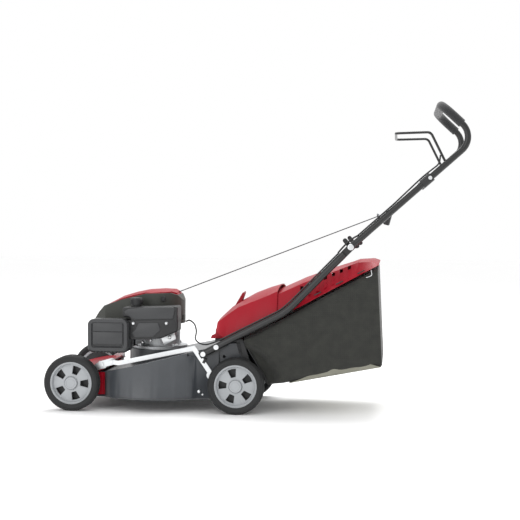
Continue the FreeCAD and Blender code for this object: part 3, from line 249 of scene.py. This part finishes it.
def rounded(low, high, corner=0.001, segments=3, along=None):
    """A box between two corners in metres, its edges rounded, or only those along one axis."""
    form = bmesh.new()
    low, high = Vector(low), Vector(high)
    bmesh.ops.create_cube(form, size=1, matrix=Matrix.Translation((low + high) / 2) @ Matrix.Diagonal(
        (*(high - low), 1)))
    picked = [edge for edge in form.edges if along is None
              or abs((edge.verts[0].co - edge.verts[1].co).normalized()[along]) > 0.9]
    bmesh.ops.bevel(form, geom=picked, offset=corner, offset_type="OFFSET", affect="EDGES", segments=segments,
                    profile=0.5, material=-1)
    return form


# Nylon: near black, fine-grained, duller than the painted steel.
black_nylon = grainy("black_moulded_nylon", "#101113", "#1A1B1D", 0.05, 0.4, 0.55, 0.0011, 0.00015, IOR=1.53)
# Cold drawn bar: grey, streaky along its length.
drawn_steel = grainy("cold_drawn_steel", "#7E8184", "#9B9EA1", 0.02, 0.3, 0.45, 0.0008, 0.00004, Metallic=1.0)
skinned("chute_frame", black_nylon, 0.001)
skinned("flap_rod", drawn_steel, 0.0003)
for side in (-1, 1):
    for count in range(3):
        foot, head = Vector((-0.0455 + 0.004 * count, 0, 0.190)), Vector((-0.0545 + 0.004 * count, 0, 0.226))
        rib = rounded((-0.0012, min(side * 0.1578, side * 0.1602), 0),
                      (0.0012, max(side * 0.1578, side * 0.1602), 1), 0.0004, 1)
        for corner in rib.verts:
            spot = foot.lerp(head, corner.co.z)
            corner.co = (spot.x + corner.co.x, corner.co.y, spot.z)
        joins(placed(rib, f"mouth_rib_{'left' if side < 0 else 'right'}_{count}", black_nylon), "chute_frame")

# ---------------------------------------------------------------- height adjustment
# Two bent axles on arms, joined by a flat zinc plated strip on the left, so one
# lever sets all four wheels: laser-cut strip, turned pins, a painted lever.
# Gloss black paint on the lever and the handle tubes, with a soft highlight.
black_coat = grainy("black_powder_coat_on_tube", "#0B0C0D", "#121314", 0.09, 0.3, 0.4, 0.0016, 0.00003,
                    IOR=1.5, Coat_Weight=0.15, Coat_Roughness=0.3)
for node in ("front_axle", "rear_axle", "arm_pivots", "height_link", "height_quadrant"):
    skinned(node, zinc, 0.0005)
skinned("height_lever", black_coat, 0.0006)
# A spring clip of black nylon holds the strip on its rear pin.
CLIP_AT = (-0.1567, 0, 0.1655)
clip = rounded((-0.0042, -0.1714, -0.0085), (0.0042, -0.1461, 0.0085), 0.0012)
bmesh.ops.rotate(clip, verts=clip.verts, cent=(0, 0, 0), matrix=Matrix.Rotation(math.radians(30), 3, "Y"))
bmesh.ops.translate(clip, verts=clip.verts, vec=CLIP_AT)
joins(placed(clip, "link_clip_rear", black_nylon), "height_link")

# ---------------------------------------------------------------- wheels
# Four hard rubber tyres pressed on silver-grey polypropylene rims with five
# windows; a black dust shield sits behind the web and a snap-in cap hides the
# axle nut.
# Tyre rubber: dark grey, dusty, no gloss.
tyre_rubber = grainy("dark_grey_tyre_rubber", "#141516", "#1F2021", 0.03, 0.62, 0.8, 0.0012, 0.00012,
                     IOR=1.52)
# Silver-grey pigment in polypropylene: pale and satin, not a metal.
silver_plastic = grainy("silver_grey_moulded_rim", "#989B9E", "#A8ABAE", 0.05, 0.36, 0.46, 0.0012, 0.0001,
                        IOR=1.49)
AXLE_HEIGHT = 0.090
TREAD = [(68, -17), (80, -22), (86, -20), (88.4, -17), (90, -13), (90, -5.4), (88.6, -4.8), (88.6, 4.8),
         (90, 5.4),
         (90, 13), (88.4, 17), (86, 20), (84.5, 21.6), (82.5, 20.9), (80, 22), (70.5, 17.4), (68, 17)]
DUST_SHIELD = [(21.5, -13), (59, -13), (59, -10.5), (21.5, -10.5), (21.5, -13)]
CAP = [(0, 20), (13.2, 20), (14, 19.4), (14.8, 20), (18.6, 19.9), (19.5, 19), (19.5, 15.4), (18.4, 15.4),
       (18.4, 18.6), (14, 18.3), (12, 18.8), (0, 18.8)]


def wheel_lathe(profile, centre, outwards, steps):
    return lathe([(radius / 1000, along / 1000) for radius, along in profile], centre, outwards, steps)


for corner in ("front_left", "front_right", "rear_left", "rear_right"):
    low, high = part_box("tyre_" + corner)
    hub = Vector(((low[0] + high[0]) / 2, (low[1] + high[1]) / 2, AXLE_HEIGHT))
    out = (0, -1, 0) if "left" in corner else (0, 1, 0)
    tyre = wheel_lathe(TREAD, hub, out, 96)
    shoulders = [face for face in tyre.faces
                 if abs(math.hypot(face.calc_center_median().x - hub.x,
                                   face.calc_center_median().z - hub.z) - 0.0899)
                 < 0.0004 and abs(face.calc_center_median().y - hub.y) > 0.004]
    picked = [face for face in shoulders
              if int(round(math.atan2(face.calc_center_median().z - hub.z,
                                      face.calc_center_median().x - hub.x)
                           / math.tau * 96 - 0.5)) % 4 == 0]
    bmesh.ops.inset_individual(tyre, faces=picked, thickness=0.0006, depth=-0.0013)
    stands_for(placed(tyre, "tyre_" + corner + "_tread", tyre_rubber, 26), "tyre_" + corner)
    skinned("rim_" + corner, silver_plastic, 0.0006)
    joins(placed(wheel_lathe(DUST_SHIELD, hub, out, 48), "dust_shield_" + corner, black_nylon),
          "rim_" + corner)
    joins(placed(wheel_lathe(CAP, hub, out, 40), "hub_cap_" + corner, silver_plastic), "rim_" + corner)

# ---------------------------------------------------------------- engine block
# Die-cast aluminium crankcase on the deck with the finned cylinder and its head
# lying forwards, exhaust on the right; left as cast, seams ground off.
# Cast aluminium: pale grey, with a fine sandy skin.
cast_aluminium = grainy("die_cast_aluminium", "#A6A8AA", "#C6C8CA", 0.02, 0.4, 0.58, 0.0011, 0.00025,
                        Metallic=1.0)
# Aluminised sheet round the exhaust, gone dull with heat.
exhaust_sheet = grainy("heat_dulled_steel_sheet", "#6E6A66", "#86817B", 0.02, 0.42, 0.6, 0.0009, 0.00006,
                       Metallic=1.0)
for node in ("crankcase", "cylinder", "cylinder_head", "piston", "connecting_rod", "carburettor", "flywheel"):
    skinned(node, cast_aluminium, 0.0006)
skinned("muffler", exhaust_sheet, 0.0006)
skinned("crankshaft", drawn_steel, 0.0003)
skinned("spark_plug", black_nylon, 0.0004)

def outline_block(points, low_y, high_y, rim=0.0008, corner=0.003):
    """A moulded or cut plate: an outline in x and z carried from low_y to high_y, its edges rounded."""
    form = bmesh.new()
    face = form.faces.new([form.verts.new((x, low_y, z)) for x, z in points])
    bmesh.ops.bevel(form, geom=face.verts[:], offset=corner, offset_type="OFFSET", affect="VERTICES",
                    segments=3, profile=0.5, material=-1)
    grown = bmesh.ops.extrude_face_region(form, geom=form.faces[:])["geom"]
    bmesh.ops.translate(form, verts=[v for v in grown if isinstance(v, bmesh.types.BMVert)],
                        vec=(0, high_y - low_y, 0))
    bmesh.ops.recalc_face_normals(form, faces=form.faces)
    rims = [edge for edge in form.edges if edge.is_manifold and edge.calc_face_angle(0) > math.radians(60)]
    bmesh.ops.bevel(form, geom=rims, offset=rim, offset_type="OFFSET", affect="EDGES", segments=2,
                    profile=0.5, material=-1)
    return form


# The governor bracket and dipstick boss on the near side of the crankcase, folded
# and cast, with bright screws.
GOVERNOR_PLATE = [(-0.313, 0.230), (-0.270, 0.250), (-0.262, 0.226), (-0.300, 0.205)]
joins(placed(outline_block(GOVERNOR_PLATE, -0.0985, -0.0925), "governor_plate", zinc), "crankcase")
for number, (x, z, size) in enumerate([(-0.283, 0.232, 0.0065), (-0.345, 0.221, 0.0045),
                                       (-0.372, 0.214, 0.004), (-0.262, 0.207, 0.0045)]):
    stud = lathe([(0, -0.0065), (size * 0.6, -0.006), (size, -0.004), (size, 0.009), (0, 0.009)],
                 (x, -0.0985, z), (0, 1, 0), 6)
    joins(placed(stud, f"crankcase_screw_{number}", zinc), "crankcase")

# ---------------------------------------------------------------- blade
# Stamped and ground bar blade on its boss, held by one bolt under the deck.
for node in ("blade", "blade_boss", "blade_bolt"):
    skinned(node, drawn_steel, 0.0004)

# ---------------------------------------------------------------- cowl and starter
# Blower housing over the flywheel, moulded in olive-grey nylon, with the red
# crowned cover on top and the starter pulley inside.
# Glass-filled nylon: dark olive grey with a dull, slightly mottled skin.
olive_nylon = grainy("olive_grey_glass_filled_nylon", "#2B2D28", "#373933", 0.05, 0.45, 0.6, 0.0012, 0.0002,
                     IOR=1.53)
skinned("blower_housing", olive_nylon, 0.003)
skinned("recoil_pulley", black_nylon, 0.0004)
crown = skin_mesh("top_cover")
across = [edge for edge in crown.edges if abs(edge.verts[0].co.y - edge.verts[1].co.y) > 0.06]
bmesh.ops.subdivide_edges(crown, edges=across, cuts=9, use_grid_fill=True)
for corner in crown.verts:
    corner.co.z -= 0.0085 * (abs(corner.co.y) / 0.074) ** 2.2
skinned("top_cover", crimson, 0.0022, crown)
# A shallow round boss on the cowl's flank and a bright screw under its rear lip.
for name, profile, at, finish in [
        ("cowl_flank_boss", [(0, -0.0022), (0.004, -0.0022), (0.0045, -0.0012), (0.0065, -0.0012),
                             (0.0075, -0.002),
                             (0.0085, -0.001), (0.0085, 0.004), (0, 0.004)], (-0.306, -0.088, 0.3565),
         black_nylon),
        ("cowl_lip_screw", [(0, -0.004), (0.004, -0.0035), (0.005, -0.002), (0.005, 0.004), (0, 0.004)],
         (-0.256, -0.090, 0.282), zinc)]:
    joins(placed(lathe(profile, at, (0, 1, 0), 24), name, finish), "blower_housing")

# ---------------------------------------------------------------- air cleaner
# A square moulded cover with a raised rounded frame round a sunk panel; the
# pleated paper element sits inside.
# Polyethylene: charcoal with a soft, waxy satin skin.
charcoal = grainy("charcoal_moulded_polyethylene", "#2C2D2F", "#37383A", 0.06, 0.36, 0.5, 0.0014, 0.00018,
                  IOR=1.51)
# A darker copy of the same polyethylene for the sunk panel: painted shade in the recess.
charcoal_painted_shade = grainy("charcoal_polyethylene_painted_recess_shade", "#1D1E20", "#262729", 0.06, 0.42, 0.55, 0.0014,
                       0.00018, IOR=1.51)
# Filter paper: warm, matt, faintly fibrous.
filter_paper = grainy("pleated_filter_paper", "#C9BE98", "#D8CEAC", 0.01, 0.9, 0.98, 0.0015, 0.0003)
skinned("air_filter", filter_paper, 0.0006)
skinned("airbox_cover", charcoal, 0.001)
# The sunk panel is coloured with the darker copy, which is painted recess shade.
panel = rounded((-0.5215, -0.1812, 0.2075), (-0.4225, -0.1745, 0.2875), 0.009, 4, along=1)
front = min(panel.faces, key=lambda face: face.calc_center_median().y)
bmesh.ops.inset_region(panel, faces=[front], thickness=0.0022, depth=-0.0016)
joins(broken_edges(placed(panel, "airbox_panel", charcoal_painted_shade), 0.0005), "airbox_cover")
frame_ring = rounded((-0.5352, -0.1835, 0.1925), (-0.4055, -0.1745, 0.2965), 0.020, 6, along=1)
face = min(frame_ring.faces, key=lambda one: one.calc_center_median().y)
bmesh.ops.inset_region(frame_ring, faces=[face], thickness=0.0115)
bmesh.ops.inset_region(frame_ring, faces=[face], thickness=0.002, depth=-0.0045)
joins(broken_edges(placed(frame_ring, "airbox_frame", charcoal), 0.0018, 45, 3), "airbox_cover")
for name, low_z, high_z, proud in [("airbox_lid_upper", 0.2565, 0.2838, 0.0009), ("airbox_lid_lower", 0.2155,
                                                                                  0.2545, 0.0018)]:
    slab = rounded((-0.5195, -0.1806 - proud, low_z), (-0.4215, -0.1785, high_z), 0.0012, 2)
    joins(placed(slab, name, charcoal), "airbox_cover")
for count in range(7):
    x = -0.508 + 0.0125 * count
    tooth = rounded((x - 0.0026, -0.1822, 0.1868), (x + 0.0026, -0.1700, 0.1965), 0.001, 2)
    joins(placed(tooth, f"airbox_tooth_{count}", black_nylon), "airbox_cover")

# ---------------------------------------------------------------- fuel tank and cap
# Blow-moulded black tank in front of the cowl with two raised panels pressed
# into its flank and two bright screws; the cap is knurled all round.
skinned("fuel_tank", black_nylon, 0.0008)
TANK_UPPER = [(-0.4205, 0.3190), (-0.4075, 0.3280), (-0.3357, 0.3350), (-0.2620, 0.3365), (-0.2535, 0.3290),
              (-0.2610, 0.2990), (-0.3870, 0.2945), (-0.4150, 0.3110)]
TANK_LOWER = [(-0.3720, 0.2835), (-0.3085, 0.2855), (-0.3020, 0.2620), (-0.3250, 0.2395), (-0.3850, 0.2370),
              (-0.3955, 0.2500), (-0.3830, 0.2620)]
for name, points in [("tank_panel_upper", TANK_UPPER), ("tank_panel_lower", TANK_LOWER)]:
    joins(placed(outline_block(points, -0.1645, -0.1585, 0.0014, 0.0035), name, charcoal), "fuel_tank")
tank_apron = [(-0.4180, 0.2900), (-0.2550, 0.2960), (-0.2500, 0.2600), (-0.3150, 0.2330), (-0.4000, 0.2290),
              (-0.4080, 0.2500)]
joins(placed(outline_block(tank_apron, -0.1612, -0.1180, 0.0010, 0.004), "tank_apron", black_nylon),
      "fuel_tank")
for number, (x, z) in enumerate([(-0.3904, 0.2815), (-0.2821, 0.2836)]):
    head = lathe([(0, -0.0062), (0.0035, -0.0056), (0.0056, -0.003), (0.0056, 0.003), (0, 0.003)],
                 (x, -0.1600, z), (0, 1, 0), 20)
    joins(placed(head, f"tank_screw_{number}", zinc), "fuel_tank")
cap_low, cap_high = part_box("fuel_cap")
middle = Vector(((cap_low[0] + cap_high[0]) / 2, (cap_low[1] + cap_high[1]) / 2, cap_low[2]))
tall = cap_high[2] - cap_low[2]
cap = lathe([(0, 0.003), (0.0142, 0.003), (0.0142, 0.0002), (0.0198, 0.0002), (0.0202, 0.002),
             (0.0200, tall * 0.78),
             (0.0175, tall), (0.0150, tall - 0.0012), (0, tall - 0.0016)], middle, (0, 0, 1), 72)
ridges = [face for face in cap.faces if abs(face.normal.z) < 0.3 and face.calc_area() > 1.5e-5
          and face.calc_center_median().z > middle.z + 0.003]
bmesh.ops.inset_individual(cap, faces=ridges[::2], thickness=0.00025, depth=-0.0009)
stands_for(placed(cap, "fuel_cap_knurled", black_nylon), "fuel_cap")

# ---------------------------------------------------------------- handle
# Drawn steel tube, bent, drilled and powder coated black: a lower pair bolted to
# two brackets on the deck, a folding upper pair, and the bar they carry.
# Nuts, bolts and washers are zinc plated.
for node in ("lower_tubes", "handle_brackets", "upper_tubes", "handlebar", "brake_bail"):
    skinned(node, black_coat, 0.0005)
for node in ("chassis_bolts", "fold_bolts", "joiner_bolts"):
    skinned(node, zinc, 0.0003)
skinned("tube_joiners", black_nylon, 0.0012)
for node in ("fold_knob_left", "fold_knob_right"):
    skinned(node, black_nylon, 0.0014)
skinned("rope_guide", drawn_steel, 0.0003)
# Foam: closed-cell sleeve with fine open pores and no gloss.
foam_material, foam_tree, foam_shader, foam_point = surface(
    "black_closed_cell_foam", "#1A1B1D", "#252628", 0.01, 0.88, 0.96, Sheen_Weight=0.25, Sheen_Roughness=0.6)
pores = add(foam_tree, "ShaderNodeTexVoronoi", {"Vector": foam_point, "Scale": 1 / 0.0024})
relief(foam_tree, foam_shader, pores.outputs["Distance"], 0.0006, 0.7)
grip = skinned("handle_grip", foam_material, 0.0015)

# ---------------------------------------------------------------- brake cable and starter rope
# A nylon-sheathed steel cable runs from the engine brake along the left tube to
# the bail, and a braided rope from the recoil pulley to the guide and grip.
def bent_wire(name, route, radius, resolution, material):
    """A round wire along a smooth line through a few control points, as a mesh."""
    curve = bpy.data.curves.new(name, "CURVE")
    curve.dimensions = "3D"
    curve.bevel_depth = radius
    curve.resolution_u = resolution
    curve.use_fill_caps = True
    line = curve.splines.new("NURBS")
    line.points.add(len(route) - 1)
    for point, spot in zip(line.points, route):
        point.co = (*spot, 1)
    line.order_u = 3
    line.use_endpoint_u = True
    drawn = bpy.data.objects.new(name + "_line", curve)
    bpy.context.scene.collection.objects.link(drawn)
    mesh = bpy.data.meshes.new_from_object(drawn)
    bpy.data.objects.remove(drawn)
    mesh.materials.clear()
    mesh.materials.append(material)
    mesh.shade_smooth()
    wire = bpy.data.objects.new(name, mesh)
    bpy.context.scene.collection.objects.link(wire)
    return wire


skinned("brake_cable_lower", black_nylon, 0)
skinned("brake_cable_upper", black_nylon, 0)
# Braided cord: grey, matt, with strands that cross every 2 mm.
braid, braid_tree, braid_shader, braid_point = surface("braided_polyester_rope", "#2E2F31", "#4B4C4E", 0.003,
                                                       0.8, 0.9)
strands = add(braid_tree, "ShaderNodeTexWave", {"Vector": braid_point, "Scale": 1 / 0.0125,
                                                "Distortion": 1.0},
              bands_direction="DIAGONAL")
relief(braid_tree, braid_shader, strands.outputs["Fac"], 0.0004)
skinned("starter_rope", braid, 0)
skinned("starter_grip", black_nylon, 0.0006)
low_end, high_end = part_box("brake_cable_lower"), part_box("brake_cable_upper")
from_lower = Vector((low_end[1][0], low_end[0][1] + 0.005, low_end[1][2]))
to_upper = Vector((high_end[0][0], high_end[0][1] + 0.005, high_end[0][2]))
from_lower += Vector((-0.005, 0, -0.003))
to_upper += Vector((0.005, 0, 0.003))
route = [from_lower, from_lower.lerp(to_upper, 0.25) + Vector((-0.002, 0, 0.004)),
         from_lower.lerp(to_upper, 0.75) + Vector((-0.003, 0, 0.006)), to_upper]
bridge = bent_wire("brake_cable_at_fold", route, 0.0028, 24, black_nylon)
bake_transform(bridge)

# ---------------------------------------------------------------- rear flap
# One red moulding hinged on the rod, closed by a spring; it rests on the bag's
# lid. A finger tab stands up near its front edge.
skinned("rear_flap", crimson, 0.002)
skinned("flap_spring", drawn_steel, 0.0002)
# Stepped hinge cheeks at the flap's front corners, part of the same moulding.
for side in (-1, 1):
    low_y, high_y = sorted((side * 0.1560, side * 0.1600))
    cheek = outline_block([(-0.1385, 0.2365), (-0.1350, 0.2480), (-0.1240, 0.2520), (-0.1160, 0.2660),
                           (-0.1010, 0.2700),
                           (-0.0900, 0.2520), (-0.0960, 0.2390)], low_y, high_y, 0.0007, 0.002)
    joins(placed(cheek, f"flap_cheek_{'left' if side < 0 else 'right'}", crimson), "rear_flap")

# ---------------------------------------------------------------- bag
# The grass bag: a red moulded lid on a bent wire frame that holds a bag of dark
# woven polyester; the grey-beige sheet wrapped under its belly is painted
# reflection of the white floor.
skinned("bag_lid", crimson, 0.002)
skinned("bag_frame", black_coat, 0.0003)
# Places in x and z along the lid's flank, and the pitch from one to the next.
FIRST_LOUVRE, LOUVRE_STEP = (0.153, 0.405), (0.025, 0.011)
FIRST_CLIP, CLIP_STEP = (0.1369, 0.3514), (0.0680, 0.0349)
LID_SLOPE = math.radians(-27)
for side in (-1, 1):
    label = "left" if side < 0 else "right"
    for count in range(7):
        x, z = FIRST_LOUVRE[0] + LOUVRE_STEP[0] * count, FIRST_LOUVRE[1] + LOUVRE_STEP[1] * count
        louvre = rounded((x - 0.0048, min(side * 0.147, side * 0.176), z - 0.034),
                         (x + 0.0048, max(side * 0.147, side * 0.176), z - 0.0085), 0.0008, 2)
        for vert in louvre.verts:
            vert.co.z += (vert.co.x - x) * 0.45
            sink = (z + 0.006 - vert.co.z) * 0.62 - 0.0005
            vert.co.y = side * min(abs(vert.co.y), max(0.1475, 0.1515 + sink - 0.0022))
        joins(placed(louvre, f"lid_louvre_{label}_{count}", crimson), "bag_lid")
    for count in range(4):
        x, z = FIRST_CLIP[0] + CLIP_STEP[0] * count, FIRST_CLIP[1] + CLIP_STEP[1] * count
        clip = rounded((-0.0125, -0.0018, -0.0016), (0.0125, 0.0018, 0.0016), 0.0006, 2)
        bmesh.ops.rotate(clip, verts=clip.verts, cent=(0, 0, 0), matrix=Matrix.Rotation(LID_SLOPE, 3, "Y"))
        bmesh.ops.translate(clip, verts=clip.verts, vec=(x, side * 0.1785, z))
        joins(placed(clip, f"lid_clip_{label}_{count}", black_nylon), "bag_lid")
# Woven polyester: two sets of threads, drawn 3 mm apart so that they show, over
# a slow mottle of dark and light patches, painted shade and light that make up for the loose cloth's flat
# shading.
weave, weave_tree, weave_shader, weave_point = surface(
    "dark_woven_polyester", "#0F100E", "#343530", 0.03, 0.78, 0.92, Sheen_Weight=0.15, Sheen_Roughness=0.5)
threads = []
for direction in ("X", "Z"):
    threads.append(add(weave_tree, "ShaderNodeTexWave", {"Vector": weave_point, "Scale": 1 / 0.019,
                                                         "Distortion": 0.6,
                                                         "Detail": 1.0},
                       bands_direction=direction).outputs["Fac"])
crossed = add(weave_tree, "ShaderNodeMath", {0: threads[0], 1: threads[1]}, operation="MULTIPLY")
relief(weave_tree, weave_shader, crossed.outputs["Value"], 0.0005, 0.8)
# Grey-beige, matt: painted reflection of the white floor on the bag's belly.
painted_floor_reflection = grainy("grey_beige_painted_floor_reflection", "#77766A", "#8C8B7F", 0.04, 0.85, 0.95, 0.0016, 0.0003)
BAG_TOP = [(-0.0300, 0.2375), (0.0000, 0.2500), (0.0770, 0.2950), (0.3935, 0.4690)]
BAG_LOW = [(-0.0280, 0.2130), (0.0100, 0.1500), (0.0400, 0.0865), (0.4095, 0.1575)]


def along(line, share):
    """The point a share of the way along a bent line in x and z."""
    runs = [math.dist(a, b) for a, b in zip(line, line[1:])]
    left = share * sum(runs)
    for (start, end), run in zip(zip(line, line[1:]), runs):
        if left <= run + 1e-9:
            part = left / run
            return Vector((start[0] + (end[0] - start[0]) * part, start[1] + (end[1] - start[1]) * part))
        left -= run
    return Vector(line[-1])


ROWS, AROUND = 56, 112
cloth = bmesh.new()
rings = []
for row in range(ROWS + 1):
    share = row / ROWS
    top, low = along(BAG_TOP, share), along(BAG_LOW, share)
    ring = bmesh.ops.create_circle(cloth, segments=AROUND, radius=1)["verts"]
    for vert in ring:
        c, s = vert.co.x, vert.co.y
        reach = (abs(c) ** 20 + abs(s) ** 20) ** (-1 / 20)
        y, up = c * reach, s * reach
        spot = low.lerp(top, (up + 1) / 2)
        vert.co = (spot.x, y, spot.y)
    rings.append(ring)
for before, after in zip(rings, rings[1:]):
    edges = [{e for v in ring for e in v.link_edges if e.other_vert(v) in set(ring)} for ring in (before,
                                                                                                  after)]
    bmesh.ops.bridge_loops(cloth, edges=list(edges[0] | edges[1]))
rear = cloth.faces.new(rings[-1])
bmesh.ops.inset_region(cloth, faces=[rear], thickness=0.012)
HALF_WIDE, HALF_THROAT = 0.1765, 0.1530
REAR_AXLE_X, WHEEL_ROOM = -0.052, 0.112
bmesh.ops.recalc_face_normals(cloth, faces=cloth.faces)
for vert in cloth.verts:
    x, y, z = vert.co
    away = math.hypot(x - REAR_AXLE_X, z - AXLE_HEIGHT)
    ease = min(1, max(0, (away - WHEEL_ROOM) / 0.035))
    ease = ease * ease * (3 - 2 * ease)
    half = HALF_THROAT + (HALF_WIDE - HALF_THROAT) * ease
    flank = min(1, max(0, (abs(y) - 0.75) / 0.2)) * ease
    billow = noise.noise(Vector((x * 9, 3 if y < 0 else 8, z * 9))) * 0.006
    billow += noise.noise(Vector((x * 26, 5 if y < 0 else 1, z * 26))) * 0.0022
    nearest = abs((x - 0.333) * 0.62 + (z - 0.238) * 0.78)
    fold = math.exp(-(nearest / 0.005) ** 2) * min(1, max(0, (x - 0.325) / 0.02)) * 0.004
    vert.co.y = y * half + math.copysign(flank * (billow - 0.0045 - fold), y)
bag = placed(cloth, "bag_cloth", weave, 60)
wall = bag.modifiers.new("cloth", "SOLIDIFY")
wall.thickness = 0.0014
wall.offset = -1
soften = bag.modifiers.new("drape", "SUBSURF")
soften.levels = soften.render_levels = 1
stands_for(bag, "bag_fabric")
# A pale crescent sheet round the bag's belly towards the rear: painted reflection
# of the white floor, put over the dark cloth.
crescent = bmesh.new()
bmesh.ops.create_grid(crescent, x_segments=40, y_segments=24, size=0.5)
for vert in crescent.verts:
    along_x, around = vert.co.x + 0.5, vert.co.y * 2
    x = 0.115 + (0.4055 - 0.115) * along_x
    low_z = 0.0865 + (x - 0.040) * (0.1575 - 0.0865) / 0.3695
    rise = 0.034 * max(0, math.sin(math.pi * along_x ** 1.35)) ** 1.1 + 0.0012
    bend = 0.80
    if abs(around) > bend:
        share = (abs(around) - bend) / (1 - bend)
        vert.co = (x, math.copysign(0.1796, around), low_z + rise * share)
    else:
        vert.co = (x, 0.1796 * around / bend, low_z - 0.0014)
bmesh.ops.recalc_face_normals(crescent, faces=crescent.faces)
# The crescent takes the pale finish, which is painted floor reflection.
underside = placed(crescent, "bag_belly_painted_reflection", painted_floor_reflection, 60)
reflection_sheet = underside.modifiers.new("cloth", "SOLIDIFY")
reflection_sheet.thickness = 0.001
reflection_sheet.offset = 0
joins(underside, "bag_fabric")
# A wire hook at the back of the frame hangs the bag up to dry.
hook_route = [(0.3705, -0.1755, 0.4640), (0.3735, -0.1800, 0.4560), (0.3750, -0.1805, 0.4475),
              (0.3700, -0.1805, 0.4420), (0.3564, -0.1800, 0.4384)]
hook = bent_wire("bag_hook", hook_route, 0.0014, 12, zinc)
joins(hook, "bag_frame")
